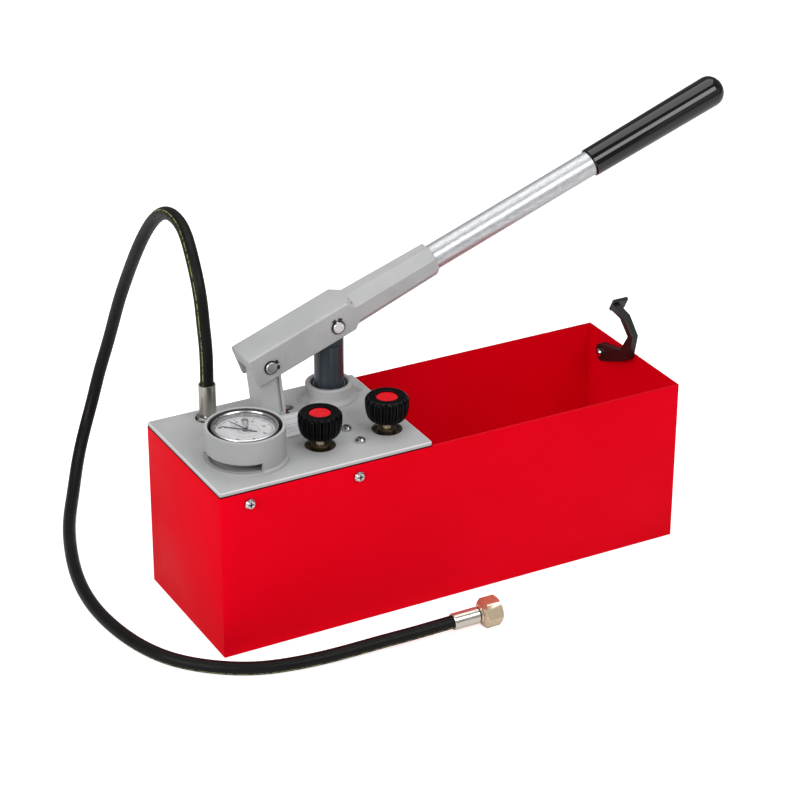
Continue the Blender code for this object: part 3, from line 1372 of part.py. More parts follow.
def hook_points(shares):
    """Shares of the hook's reach and rise, as places beside its pivot; the reach runs towards the front."""
    return [(-forward * HOOK_REACH, up * HOOK_RISE) for forward, up in shares]


def make_hook():
    axis = joint_frame("hook_axis", (0, HOOK_Y, HOOK_Z))
    outline = hook_points(HOOK_OUTER_SHARES + HOOK_INNER_SHARES)
    hook = soften(prism("hook", outline, HOOK_INSIDE, HOOK_OUTSIDE, "X"), HOOK_EDGE, 1)
    edge = HOOK_EDGE
    profile = [
        (0, HOOK_INSIDE),
        (HOOK_EYE_RADIUS - edge, HOOK_INSIDE),
        (HOOK_EYE_RADIUS, HOOK_INSIDE + edge),
        (HOOK_EYE_RADIUS, HOOK_OUTSIDE - edge),
        (HOOK_EYE_RADIUS - edge, HOOK_OUTSIDE),
        (0, HOOK_OUTSIDE),
    ]
    join(hook, turned("eye", profile, SHAFT_SIDES, "X"))
    thumb = soften(prism("thumb", hook_points(THUMB_SHARES), HOOK_INSIDE, HOOK_INSIDE + THUMB_LENGTH, "X"), HOOK_EDGE, 1)
    join(hook, thumb)
    hole = HOOK_SCREW_SHANK / 2 + FIT_GAP
    cut(hook, rod("hole", hole, HOOK_INSIDE - OVERRUN, HOOK_OUTSIDE + OVERRUN, axis="X", sides=SMALL_SIDES))
    finish(hook, BLACK_PLASTIC, axis)
    nut_start = RIGHT + FIT_GAP
    nut_end = nut_start + HOOK_NUT_HEIGHT
    reach = nut_end + HOOK_SCREW_END - HOOK_INSIDE
    bolt = screw("hook_screw", HOOK_SCREW_SHANK, HOOK_SCREW_HEAD, reach, "X", -1)
    bolt.location = (HOOK_INSIDE, HOOK_Y, HOOK_Z)
    finish(bolt, ZINC)
    nut = prism("hook_nut", hexagon(HOOK_NUT_FLATS), nut_start, nut_end, "X")
    cut(nut, rod("hole", hole, nut_start - OVERRUN, nut_end + OVERRUN, axis="X", sides=SMALL_SIDES))
    nut.location = (0, HOOK_Y, HOOK_Z)
    finish(nut, ZINC)


# Hose


def smooth_route(points):
    """A natural cubic spline through the points, sampled at even steps of its length."""
    route = np.array(points)
    knots = np.concatenate(([0.0], np.cumsum(np.linalg.norm(np.diff(route, axis=0), axis=1))))
    gaps = np.diff(knots)[:, None]
    slopes = np.diff(route, axis=0) / gaps
    count = len(route)
    system = np.eye(count)
    rates = np.zeros_like(route)
    for i in range(1, count - 1):
        system[i, i - 1 : i + 2] = (gaps[i - 1, 0], 2 * (gaps[i - 1, 0] + gaps[i, 0]), gaps[i, 0])
        rates[i] = 6 * (slopes[i] - slopes[i - 1])
    bends = np.linalg.solve(system, rates)

    def at(place):
        i = min(max(int(np.searchsorted(knots, place)) - 1, 0), count - 2)
        gap = knots[i + 1] - knots[i]
        a, b = (knots[i + 1] - place) / gap, (place - knots[i]) / gap
        lift = ((a**3 - a) * bends[i] + (b**3 - b) * bends[i + 1]) * gap**2 / 6
        return a * route[i] + b * route[i + 1] + lift

    fine = np.array([at(place) for place in np.linspace(0, knots[-1], 2000)])
    length = np.concatenate(([0.0], np.cumsum(np.linalg.norm(np.diff(fine, axis=0), axis=1))))
    steps = round(length[-1] / (2 * HOSE_RADIUS * HOSE_STEP_SHARE))
    print(f"hose length {length[-1]:.3f}")
    even = np.linspace(0, length[-1], steps + 1)
    return np.stack([np.interp(even, length, fine[:, k]) for k in range(3)], axis=1)


def make_hose():
    curve = bpy.data.curves.new("hose", "CURVE")
    curve.dimensions = "3D"
    curve.bevel_depth = HOSE_RADIUS
    curve.bevel_resolution = HOSE_FACETS
    curve.use_fill_caps = True
    points = smooth_route(HOSE_ROUTE)
    spline = curve.splines.new("POLY")
    spline.points.add(len(points) - 1)
    for point, place in zip(spline.points, points):
        point.co = (*place, 1)
    hose = bpy.data.objects.new("hose", curve)
    hose.data.materials.append(RUBBER)
    bpy.context.collection.objects.link(hose)


def ferrule(name, radius, length, tail_radius, tail_depth):
    """A sleeve along +Z: the fitting's tail enters at zero, and the hose at the far end."""
    tail = tail_radius + FIT_GAP
    socket = HOSE_RADIUS + HOSE_ROOM
    profile = [
        (tail, 0),
        (radius - FERRULE_EDGE, 0),
        (radius, FERRULE_EDGE),
        (radius, length - FERRULE_EDGE),
        (radius - FERRULE_EDGE, length),
        (socket, length),
        (socket, length - FERRULE_SOCKET),
        (FERRULE_BORE, length - FERRULE_SOCKET),
        (FERRULE_BORE, tail_depth),
        (tail, tail_depth),
    ]
    return turned(name, profile, SHAFT_SIDES)


def make_hose_top():
    low = ADAPTER_UNDER
    profile = [
        (FERRULE_BORE, low - ADAPTER_TAIL),
        (ADAPTER_NECK, low - ADAPTER_TAIL),
        (ADAPTER_NECK, UPPER_FERRULE_UNDER + FERRULE_TAIL_DEPTH - FIT_GAP),
        (FERRULE_BORE, UPPER_FERRULE_UNDER + FERRULE_TAIL_DEPTH - FIT_GAP),
    ]
    adapter = turned("hose_adapter", profile, SHAFT_SIDES)
    corner = ADAPTER_FLATS / 2 / math.cos(math.pi / 6)
    blank = prism("hex", hexagon(ADAPTER_FLATS, 15), low, ADAPTER_HEX_TOP)
    face = ADAPTER_FLATS / 2
    edge = [(0, low), (face, low), (corner, low + ADAPTER_CHAMFER / 2), (corner, ADAPTER_HEX_TOP - ADAPTER_CHAMFER)]
    edge += [(face - ADAPTER_CHAMFER / 2, ADAPTER_HEX_TOP), (0, ADAPTER_HEX_TOP)]
    combine(blank, turned("edge", edge), "INTERSECT")
    cut(blank, rod("bore", (FERRULE_BORE + ADAPTER_NECK) / 2, low - OVERRUN, ADAPTER_HEX_TOP + OVERRUN, sides=SHAFT_SIDES))
    join(adapter, blank)
    adapter.location = (HOSE_PORT_X, HOSE_PORT_Y, 0)
    finish(adapter, ZINC)
    sleeve = ferrule("hose_ferrule_upper", UPPER_FERRULE_RADIUS, UPPER_FERRULE_LENGTH, ADAPTER_NECK, FERRULE_TAIL_DEPTH)
    sleeve.location = (HOSE_PORT_X, HOSE_PORT_Y, UPPER_FERRULE_UNDER)
    finish(sleeve, NICKEL)


def make_lower_ferrule(place):
    sleeve = ferrule("hose_ferrule_lower", LOWER_FERRULE_RADIUS, LOWER_FERRULE_LENGTH, TAIL_RADIUS, FERRULE_TAIL_DEPTH)
    sleeve.location = (place[0] + LOWER_FERRULE_LENGTH, place[1], place[2])
    sleeve.rotation_euler = (0, -math.pi / 2, 0)
    finish(sleeve, NICKEL)


def make_hose_tail(place):
    flange = NUT_SOCKET_RADIUS - FIT_GAP
    ring_end = RING_START + TAIL_RING_LENGTH
    profile = [
        (FERRULE_BORE, LOWER_FERRULE_LENGTH - FERRULE_TAIL_DEPTH + FIT_GAP),
        (TAIL_RADIUS, LOWER_FERRULE_LENGTH - FERRULE_TAIL_DEPTH + FIT_GAP),
        (TAIL_RADIUS, RING_START),
        (TAIL_RING_RADIUS, RING_START),
        (TAIL_RING_RADIUS, ring_end),
        (TAIL_NECK_RADIUS, ring_end),
        (TAIL_NECK_RADIUS, FLANGE_START),
        (flange, FLANGE_START),
        (flange, FLANGE_START + TAIL_FLANGE),
        (FERRULE_BORE, FLANGE_START + TAIL_FLANGE),
    ]
    tail = turned("hose_tail", profile, SHAFT_SIDES, "X")
    tail.location = place
    finish(tail, DARK_STEEL)
    end = SEAL_START + SEAL_THICKNESS
    profile = [(SEAL_HOLE_RADIUS, SEAL_START), (flange, SEAL_START), (flange, end), (SEAL_HOLE_RADIUS, end)]
    seal = turned("nut_seal", profile, SHAFT_SIDES, "X")
    seal.location = place
    finish(seal, RUBBER)


def make_swivel_nut(place):
    """A hexagon with its flats level, a flared collar behind it and a socket in front."""
    corner = NUT_FLATS / 2 / math.cos(math.pi / 6)
    blank = prism("swivel_nut", hexagon(NUT_FLATS), NUT_HEX_START - NUT_BACK_WALL, NUT_END, "X")
    edge = [
        (0, NUT_START),
        (NUT_COLLAR_RADIUS, NUT_START),
        (NUT_COLLAR_RADIUS + GLAND_GROOVE, NUT_START + NUT_COLLAR_LENGTH / 2),
        (NUT_COLLAR_FLARE, NUT_HEX_START - NUT_BACK_WALL / 2),
        (NUT_FLATS / 2 - NUT_CHAMFER, NUT_HEX_START),
        (corner, NUT_HEX_START + NUT_CHAMFER),
        (corner, NUT_END - NUT_CHAMFER),
        (NUT_FACE_RADIUS, NUT_END),
        (0, NUT_END),
    ]
    nut = combine(blank, turned("edge", edge, axis="X"), "INTERSECT")
    inner = NUT_FACE_RADIUS - GLAND_GROOVE
    core = edge[:4] + [(inner, NUT_HEX_START + NUT_CHAMFER), (inner, NUT_END - NUT_CHAMFER), (0, NUT_END - NUT_CHAMFER)]
    join(nut, turned("core", core, axis="X"))
    neck = TAIL_NECK_RADIUS + FIT_GAP
    cut(nut, rod("neck", neck, NUT_START - OVERRUN, NUT_END, axis="X", sides=SHAFT_SIDES))
    cut(nut, rod("socket", NUT_SOCKET_RADIUS, NUT_SEAT, NUT_END + OVERRUN, axis="X"))
    axis = joint_frame("swivel_axis", place)
    finish(nut, YELLOW_ZINC, axis)


def make_hose_end():
    place = (HOSE_END_X, HOSE_END_Y, HOSE_END_Z)
    make_lower_ferrule(place)
    make_hose_tail(place)
    make_swivel_nut(place)


def clear_scene():
    for piece in list(bpy.data.objects):
        bpy.data.objects.remove(piece)


clear_scene()
RED_PAINT = material("red_paint", (0.73, 0.004, 0.012), 0.45)
CAST_GREY = material("cast_grey", (0.42, 0.42, 0.42), 0.5)
ZINC = material("zinc", (0.66, 0.66, 0.66), 0.3, 1.0)
NICKEL = material("nickel", (0.42, 0.40, 0.35), 0.3, 1.0)
YELLOW_ZINC = material("yellow_zinc", (0.66, 0.50, 0.30), 0.25, 1.0)
BRASS = material("brass", (0.60, 0.42, 0.16), 0.3, 1.0)
CHROME = material("chrome", (0.75, 0.75, 0.76), 0.12, 1.0)
DARK_STEEL = material("dark_steel", (0.10, 0.10, 0.11), 0.4, 1.0)
PISTON_STEEL = material("piston_steel", (0.06, 0.068, 0.078), 0.35, 0.8)
BLACK_METAL = material("black_metal", (0.02, 0.02, 0.02), 0.4, 0.6)
BLACK_PLASTIC = material("black_plastic", (0.015, 0.015, 0.016), 0.4)
GLOSS_BLACK = material("gloss_black", (0.008, 0.008, 0.009), 0.15)
RED_PLASTIC = material("red_plastic", (0.72, 0.008, 0.02), 0.3)
RUBBER = material("rubber", (0.02, 0.02, 0.019), 0.55)
WHITE = material("white", (0.8, 0.8, 0.8), 0.5)
CLEAR = material("clear", (0.9, 0.92, 0.93), 0.05)
LABEL_SILVER = material("label_silver", (0.62, 0.62, 0.63), 0.35, 0.7)

make_tank()
make_tank_screws()
make_head_plate()
make_plate_screws()
make_label()
make_gauge_housing()
make_gauge_socket()
make_bourdon_tube()
make_gauge_movement()
make_pointers()
make_valve_block()
make_valves()
make_barrel()
make_foot_valve()
make_strainer()
make_linkage()
make_hook()
make_hose()
make_hose_top()
make_hose_end()
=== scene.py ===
"""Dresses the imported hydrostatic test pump: camera, hose, finishes, printed marks and light."""

import math

import bmesh
import bpy
import numpy as np
from mathutils import Matrix, Vector


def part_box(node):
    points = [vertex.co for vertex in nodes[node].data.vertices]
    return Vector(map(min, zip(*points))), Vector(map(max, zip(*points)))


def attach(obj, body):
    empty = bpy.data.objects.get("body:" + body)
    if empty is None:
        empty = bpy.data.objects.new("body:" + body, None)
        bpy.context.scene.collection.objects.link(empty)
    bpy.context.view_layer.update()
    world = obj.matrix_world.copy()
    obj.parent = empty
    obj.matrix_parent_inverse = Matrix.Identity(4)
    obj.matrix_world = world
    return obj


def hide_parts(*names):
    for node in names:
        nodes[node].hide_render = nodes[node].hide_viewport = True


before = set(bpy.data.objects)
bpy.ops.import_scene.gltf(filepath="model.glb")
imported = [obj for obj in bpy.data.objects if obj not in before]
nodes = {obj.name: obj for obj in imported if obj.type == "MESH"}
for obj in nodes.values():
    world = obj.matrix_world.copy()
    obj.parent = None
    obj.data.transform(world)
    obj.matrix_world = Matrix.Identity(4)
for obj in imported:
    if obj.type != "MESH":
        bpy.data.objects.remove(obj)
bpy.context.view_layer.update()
scene = bpy.context.scene

# Camera, solved from the tank's edges in the photograph: metres, degrees, pixels, and millimetres of sensor
CAMERA_AT = (-1.14861476, -2.07385043, 1.37218293)
AZIMUTH, ELEVATION, ROLL = -28.5559, 26.6795, 0.2553
FOCAL_PIXELS, FRAME_PIXELS, SENSOR = 2644.2965, 800, 36
CLIP_START, CLIP_END = 0.05, 50


def camera_axes():
    """The directions to the camera's right, up and behind it."""
    azimuth, elevation, roll = (math.radians(v) for v in (AZIMUTH, ELEVATION, ROLL))
    level = math.cos(elevation)
    back = Vector((math.sin(azimuth) * level, -math.cos(azimuth) * level, math.sin(elevation)))
    right = (-back).cross(Vector((0, 0, 1))).normalized()
    up = right.cross(-back)
    return (
        math.cos(roll) * right + math.sin(roll) * up,
        -math.sin(roll) * right + math.cos(roll) * up,
        back,
    )


def add_camera():
    data = bpy.data.cameras.new("camera")
    data.sensor_width = SENSOR
    data.lens = FOCAL_PIXELS * SENSOR / FRAME_PIXELS
    data.clip_start, data.clip_end = CLIP_START, CLIP_END
    camera = bpy.data.objects.new("camera", data)
    turn = Matrix(camera_axes()).transposed().to_4x4()
    camera.matrix_world = Matrix.Translation(CAMERA_AT) @ turn
    scene.collection.objects.link(camera)
    scene.camera = camera


add_camera()


# Shader helpers
LEVER_ANGLE = 20.2  # of the lever above level at rest, in degrees
ALONG_LEVER = (0, -LEVER_ANGLE, 0)


class Finish:
    """A Principled material, with detail in the object's own coordinates."""

    def __init__(self, name, colour, roughness, metallic=0.0, **more):
        self.material = bpy.data.materials.new(name)
        self.material.use_nodes = True
        self.tree = self.material.node_tree
        self.shader = self.tree.nodes["Principled BSDF"]
        self.set("Base Color", (*colour, 1.0))
        self.set("Roughness", roughness)
        self.set("Metallic", metallic)
        for socket, value in more.items():
            self.set(socket.replace("_", " "), value)
        self.height = None

    def set(self, socket, value):
        self.shader.inputs[socket].default_value = value

    def node(self, kind, **values):
        node = self.tree.nodes.new(kind)
        for key, value in values.items():
            if key in node.inputs:
                node.inputs[key].default_value = value
            else:
                setattr(node, key, value)
        return node

    def link(self, source, target):
        self.tree.links.new(source, target)

    def axes(self):
        """The object's own X, Y and Z, as separate outputs."""
        split = self.node("ShaderNodeSeparateXYZ")
        self.link(self.node("ShaderNodeTexCoord").outputs["Object"], split.inputs["Vector"])
        return split.outputs

    def place(self, stretch=(1, 1, 1), turn=(0, 0, 0)):
        """The object's coordinates, turned onto a piece's own axes and then stretched."""
        place = self.node("ShaderNodeMapping", vector_type="TEXTURE")
        place.inputs["Scale"].default_value = [1 / v for v in stretch]
        place.inputs["Rotation"].default_value = [math.radians(v) for v in turn]
        self.link(self.node("ShaderNodeTexCoord").outputs["Object"], place.inputs["Vector"])
        return place.outputs["Vector"]

    def noise(self, scale, detail=3, stretch=(1, 1, 1), turn=(0, 0, 0), rough=0.5):
        noise = self.node("ShaderNodeTexNoise", Scale=scale, Detail=detail, Roughness=rough)
        self.link(self.place(stretch, turn), noise.inputs["Vector"])
        return noise.outputs["Fac"]

    def ramp(self, factor, stops):
        """Colours, or plain levels, between places from 0 to 1."""
        ramp = self.node("ShaderNodeValToRGB")
        while len(ramp.color_ramp.elements) < len(stops):
            ramp.color_ramp.elements.new(0.5)
        for element, (at, colour) in zip(ramp.color_ramp.elements, stops):
            element.position = at
            element.color = (*colour, 1.0) if hasattr(colour, "__len__") else (colour,) * 3 + (1.0,)
        self.link(factor, ramp.inputs["Fac"])
        return ramp.outputs["Color"]

    def fade(self, value, start, end):
        """0 at start and 1 at end, either way round, for borders finer than a colour ramp can draw."""
        fade = self.node("ShaderNodeMapRange", clamp=True)
        fade.inputs["From Min"].default_value = start
        fade.inputs["From Max"].default_value = end
        self.link(value, fade.inputs["Value"])
        return fade.outputs["Result"]

    def math(self, operation, *values):
        """An operation on outputs, plain numbers or both."""
        result = self.node("ShaderNodeMath", operation=operation)
        for socket, value in zip(result.inputs, values):
            if hasattr(value, "is_output"):
                self.link(value, socket)
            else:
                socket.default_value = value
        return result.outputs[0]

    def colour(self, factor, *stops):
        self.link(self.ramp(factor, stops), self.shader.inputs["Base Color"])
        return self

    def rough(self, factor, *stops):
        self.link(self.ramp(factor, stops), self.shader.inputs["Roughness"])
        return self

    def bump(self, factor, depth, strength=1.0):
        """depth is how far white stands over black, in metres."""
        bump = self.node("ShaderNodeBump", Strength=strength, Distance=depth)
        self.link(factor, bump.inputs["Height"])
        if self.height is not None:
            self.link(self.height, bump.inputs["Normal"])
        self.height = bump.outputs["Normal"]
        self.link(self.height, self.shader.inputs["Normal"])
        return self

    def mix(self, factor, low, high):
        """The low colour where factor is 0, the high one where it is 1; each is an output or plain."""
        mix = self.node("ShaderNodeMix", data_type="RGBA")
        self.link(factor, mix.inputs["Factor"])
        for socket, value in (("A", low), ("B", high)):
            target = [s for s in mix.inputs if s.name == socket and s.type == "RGBA"][0]
            if hasattr(value, "is_output"):
                self.link(value, target)
            else:
                target.default_value = (*value, 1.0)
        return [s for s in mix.outputs if s.type == "RGBA"][0]


def srgb(*values):
    """A linear colour from screen values of 0 to 255."""
    return tuple(v / 255 / 12.92 if v <= 10 else ((v / 255 + 0.055) / 1.055) ** 2.4 for v in values)


def shaded(colour, level):
    return tuple(level * v for v in colour)


# Finishes, in metres. A pair is how far inside an edge a border starts and is full, and below 0 it is outside
# the edge. A single number is half the width of a border
RIM_SHEEN_AND_SHADE = (0.0013, 0.0009)
PLATE_SHADOW_LINE = (0.0010, 0.0006)
PLATE_SIDE_HIGHLIGHT = (0.0013, 0.0008)
PLATE_TOP_HIGHLIGHT = (0.0012, 0.0007)
CUP_WALL_INNER = (0.0009, 0.0004)
CUP_WALL_OUTER = (-0.0006, -0.0003)
PLATE_END_BLUR = 0.0002
CUP_WELL_BLUR = 0.0002
CUP_HEIGHT_BLUR = 0.0005

# The gauge's cup: centre, radius inside and outside, and the height where the painted shade in its well
# starts
CUP_X, CUP_Y = -0.204, -0.028
CUP_INSIDE, CUP_OUTSIDE, CUP_SHADE_FROM = 0.0362, 0.0395, 0.1935
# The head plate: middle, half sizes, and the height of its flat top
PLATE_MIDDLE, PLATE_HALF, PLATE_TOP = (-0.144, 0), (0.114, 0.085), 0.1803


def red_enamel():
    """Red enamel, paler and duller along the rim's top edge as painted sheen and shade, with a painted shadow
    line under the plate.
    """
    paint = Finish("red_enamel", srgb(222, 0, 20), 0.42, Specular_IOR_Level=0.02)
    at = paint.axes()
    rim, plate_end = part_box("tank")[1][2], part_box("head_plate")[1][0]
    coat = paint.ramp(paint.noise(7, 2), ((0.3, srgb(224, 0, 23)), (0.7, srgb(231, 0, 28))))
    # paler, duller red along the rim's top edge: painted sheen and shade of its rounded edge
    coat = paint.mix(paint.fade(at["Z"], *(rim - v for v in RIM_SHEEN_AND_SHADE)), coat, srgb(208, 14, 32))
    # a dark red line where the plate's edge overhangs the tank: painted shadow
    under_plate = paint.fade(at["X"], plate_end + PLATE_END_BLUR, plate_end - PLATE_END_BLUR)
    at_rim = paint.fade(at["Z"], *(rim - v for v in PLATE_SHADOW_LINE))
    plate_shadow = paint.math("MULTIPLY", under_plate, at_rim)
    paint.link(paint.mix(plate_shadow, coat, srgb(74, 4, 10)), paint.shader.inputs["Base Color"])
    paint.rough(paint.noise(25, 4), (0.3, 0.44), (0.7, 0.52))
    return paint.bump(paint.noise(900, 2), 0.00004, 0.35).bump(paint.noise(160, 1), 0.00006, 0.25)


def gauge_cup(paint, tone):
    """Paints the cup's outer wall darker as shade, and paints the upper part of its well dark as shade."""
    centred = paint.node("ShaderNodeMapping")
    centred.inputs["Location"].default_value = (-CUP_X, -CUP_Y, 0)
    centred.inputs["Scale"].default_value = (1, 1, 0)
    paint.link(paint.node("ShaderNodeTexCoord").outputs["Object"], centred.inputs["Vector"])
    length = paint.node("ShaderNodeVectorMath", operation="LENGTH")
    paint.link(centred.outputs["Vector"], length.inputs[0])
    reach = length.outputs["Value"]
    # the cup's outer wall painted a darker grey: painted shade on its side
    wall = paint.math(
        "MINIMUM",
        paint.fade(reach, *(CUP_OUTSIDE - v for v in CUP_WALL_INNER)),
        paint.fade(reach, *(CUP_OUTSIDE - v for v in CUP_WALL_OUTER)),
    )
    wall_shade = paint.ramp(paint.noise(30, 4), ((0.3, srgb(154, 155, 155)), (0.7, srgb(163, 163, 164))))
    tone = paint.mix(wall, tone, wall_shade)
    # the upper part of the well, in the gap by the bezel, painted near black: painted shade
    above = paint.fade(paint.axes()["Z"], CUP_SHADE_FROM - CUP_HEIGHT_BLUR, CUP_SHADE_FROM + CUP_HEIGHT_BLUR)
    inside = paint.fade(reach, CUP_INSIDE + CUP_WELL_BLUR, CUP_INSIDE - CUP_WELL_BLUR)
    well_shade = paint.ramp(paint.noise(120, 4), ((0.3, srgb(58, 58, 58)), (0.7, srgb(84, 84, 84))))
    return paint.mix(paint.math("MULTIPLY", inside, above), tone, well_shade)


def plate_border(paint, tone):
    """Paints a light highlight along the head plate's outer edge."""
    at = paint.axes()
    near = []
    for axis, middle, half in zip("XY", PLATE_MIDDLE, PLATE_HALF):
        away = paint.math("ABSOLUTE", paint.math("SUBTRACT", at[axis], middle))
        near.append(paint.fade(away, *(half - v for v in PLATE_SIDE_HIGHLIGHT)))
    top = paint.fade(at["Z"], *(PLATE_TOP - v for v in PLATE_TOP_HIGHLIGHT))
    # a lighter grey along the plate's top edge: painted highlight
    edge_highlight = paint.math("MULTIPLY", paint.math("MAXIMUM", *near), top)
    return paint.mix(edge_highlight, tone, srgb(214, 214, 215))


def cast_paint(name, low, high, marks=()):
    """Grey paint on cast metal, between two screen values. Each of marks adds something of its own to it."""
    paint = Finish(name, srgb(high, high, high), 0.42, Specular_IOR_Level=0.45)
    stops = (0.3, srgb(low, low + 1, low + 1)), (0.7, srgb(high, high, high + 1))
    tone = paint.ramp(paint.noise(30, 4), stops)
    for mark in marks:
        tone = mark(paint, tone)
    paint.link(tone, paint.shader.inputs["Base Color"])
    paint.rough(paint.noise(220, 3), (0.3, 0.38), (0.7, 0.52))
    return paint.bump(paint.noise(650, 3), 0.00009, 0.5).bump(paint.noise(90, 2), 0.0002, 0.25)


def cast_edge():
    """The same paint, lighter along the casting's rounded edges as a painted highlight, and glossier where it
    lies thin and polished.
    """
    paint = Finish("cast_edge", srgb(196, 196, 197), 0.32, Specular_IOR_Level=0.5)
    paint.colour(paint.noise(300, 3), (0.35, srgb(180, 180, 181)), (0.6, srgb(202, 202, 203)))
    return paint.bump(paint.noise(650, 2), 0.00004, 0.4)


def zinc_tube():
    """Galvanized tube: pale, with short streaks along it and a grainy sheen."""
    metal = Finish("zinc_tube", (0.52, 0.53, 0.54), 0.34, 0.6)
    along = (0.8, 5, 5)
    streaks = metal.noise(220, 6, along, ALONG_LEVER, 0.7)
    metal.colour(streaks, (0.36, (0.42, 0.43, 0.45)), (0.5, (0.56, 0.57, 0.59)), (0.62, (0.67, 0.68, 0.69)))
    metal.rough(metal.noise(300, 4, (1, 3, 3), ALONG_LEVER), (0.35, 0.30), (0.65, 0.40))
    return metal.bump(metal.noise(1400, 3, (0.7, 1.5, 1.5), ALONG_LEVER), 0.000008, 0.6)


def zinc(name="zinc", tint=(0.66, 0.66, 0.67), wear=0.72, low=0.2, high=0.36):
    """Bright zinc; wear is how dark its dull spots are, low and high its range of roughness."""
    metal = Finish(name, tint, 0.28, 1.0)
    metal.colour(metal.noise(260, 4), (0.35, shaded(tint, wear)), (0.62, tint))
    metal.rough(metal.noise(400, 3), (0.3, low), (0.7, high))
    return metal.bump(metal.noise(1500, 2), 0.00001, 0.4)


def nickel(name="nickel", shade=1.0, metallic=0.8):
    dark, light = shaded((0.56, 0.53, 0.47), shade), shaded((0.64, 0.61, 0.54), shade)
    metal = Finish(name, dark, 0.2, metallic)
    metal.colour(metal.noise(60, 2), (0.3, dark), (0.7, light))
    metal.rough(metal.noise(90, 2), (0.3, 0.15), (0.7, 0.24))
    return metal.bump(metal.noise(200, 1), 0.000004, 0.3)


def yellow_zinc():
    metal = Finish("yellow_zinc", (0.66, 0.50, 0.32), 0.26, 0.75)
    metal.colour(
        metal.noise(60, 3),
        (0.25, (0.70, 0.53, 0.34)),
        (0.5, (0.67, 0.54, 0.38)),
        (0.75, (0.64, 0.56, 0.42)),
    )
    metal.rough(metal.noise(200, 3), (0.3, 0.22), (0.7, 0.27))
    return metal.bump(metal.noise(300, 2), 0.000004, 0.3)


def brass():
    metal = Finish("brass", (0.92, 0.76, 0.48), 0.25, 0.4)
    metal.colour(metal.noise(150, 3), (0.3, (0.88, 0.70, 0.42)), (0.7, (0.96, 0.84, 0.58)))
    metal.rough(metal.noise(350, 3), (0.3, 0.18), (0.7, 0.36))
    return metal.bump(metal.noise(120, 2, (0.3, 0.3, 12)), 0.00003, 0.5)


def gland_brass(name="gland_brass", shade=1.0):
    """Brass darkened as painted shade, for the parts down in the knobs' wells."""
    dark, light = shaded((0.03, 0.022, 0.012), shade), shaded((0.13, 0.098, 0.055), shade)
    metal = Finish(name, dark, 0.36, 0.8)
    metal.colour(metal.noise(150, 3), (0.3, dark), (0.7, light))
    metal.rough(metal.noise(350, 3), (0.3, 0.28), (0.7, 0.46))
    return metal.bump(metal.noise(300, 2), 0.00003, 0.5)


def chrome():
    metal = Finish("chrome", (0.66, 0.66, 0.68), 0.16, 1.0)
    metal.colour(metal.noise(90, 3), (0.3, (0.60, 0.60, 0.62)), (0.7, (0.70, 0.70, 0.72)))
    metal.rough(metal.noise(120, 3), (0.3, 0.24), (0.7, 0.32))
    return metal.bump(metal.noise(300, 2), 0.00002, 0.25)


def recess_grime():
    """Dull, dark zinc in the cross of a screw: painted shade in the recess."""
    metal = Finish("recess_grime", srgb(50, 44, 44), 0.5, 0.4)
    metal.colour(metal.noise(700, 3), (0.3, srgb(36, 31, 31)), (0.7, srgb(66, 58, 58)))
    return metal.bump(metal.noise(1500, 2), 0.00003, 0.5)


def case_steel():
    metal = Finish("case_steel", (0.17, 0.17, 0.175), 0.34, 0.3)
    metal.colour(metal.noise(70, 3), (0.3, (0.13, 0.13, 0.135)), (0.7, (0.22, 0.22, 0.225)))
    return metal.bump(metal.noise(800, 2), 0.00003, 0.4)


def dark_steel():
    metal = Finish("dark_steel", (0.05, 0.05, 0.052), 0.35, 0.9)
    metal.colour(metal.noise(90, 3), (0.3, (0.035, 0.035, 0.037)), (0.7, (0.075, 0.075, 0.078)))
    return metal.bump(metal.noise(800, 2), 0.00003, 0.4)


def blued_steel():
    metal = Finish("blued_steel", (0.045, 0.056, 0.07), 0.3, 0.3)
    metal.colour(metal.noise(14, 3), (0.3, (0.036, 0.045, 0.056)), (0.7, (0.056, 0.068, 0.084)))
    metal.rough(metal.noise(90, 4, (4, 4, 0.2)), (0.3, 0.24), (0.7, 0.4))
    return metal.bump(metal.noise(40, 2, (8, 8, 0.15)), 0.00003, 0.4)


def black_metal():
    metal = Finish("black_metal", (0.018, 0.018, 0.02), 0.38, 0.5)
    metal.colour(metal.noise(500, 2), (0.3, (0.014, 0.014, 0.015)), (0.7, (0.03, 0.03, 0.032)))
    return metal.bump(metal.noise(900, 2), 0.00002, 0.5)


# The hands are black; this grey paints in the haze and reflection of the window over them.
def hand_lacquer():
    metal = Finish("hand_lacquer", srgb(112, 112, 116), 0.4, 0.2)
    metal.colour(metal.noise(500, 2), (0.3, srgb(102, 102, 106)), (0.7, srgb(124, 124, 128)))
    return metal.bump(metal.noise(900, 2), 0.00001, 0.4)


def reset_metal():
    metal = Finish("reset_metal", (0.62, 0.62, 0.63), 0.22, 1.0)
    metal.colour(metal.noise(500, 3), (0.3, (0.50, 0.50, 0.51)), (0.7, (0.70, 0.70, 0.71)))
    return metal.bump(metal.noise(900, 2), 0.00002, 0.3)


def plastic_edge():
    """The flutes' edges, lighter as painted glints, and glossier where they are worn smooth by hands."""
    plastic = Finish("plastic_edge", srgb(14, 14, 15), 0.24, Specular_IOR_Level=0.3)
    plastic.colour(plastic.noise(400, 2), (0.3, srgb(9, 9, 10)), (0.7, srgb(19, 19, 20)))
    return plastic.bump(plastic.noise(1800, 2), 0.00002, 0.4)


def black_plastic():
    plastic = Finish("black_plastic", srgb(3, 3, 4), 0.36, Specular_IOR_Level=0.05)
    plastic.colour(plastic.noise(60, 3), (0.3, srgb(1, 1, 2)), (0.7, srgb(5, 5, 6)))
    plastic.rough(plastic.noise(900, 2), (0.3, 0.28), (0.7, 0.42))
    return plastic.bump(plastic.noise(1800, 2), 0.00004, 0.6)


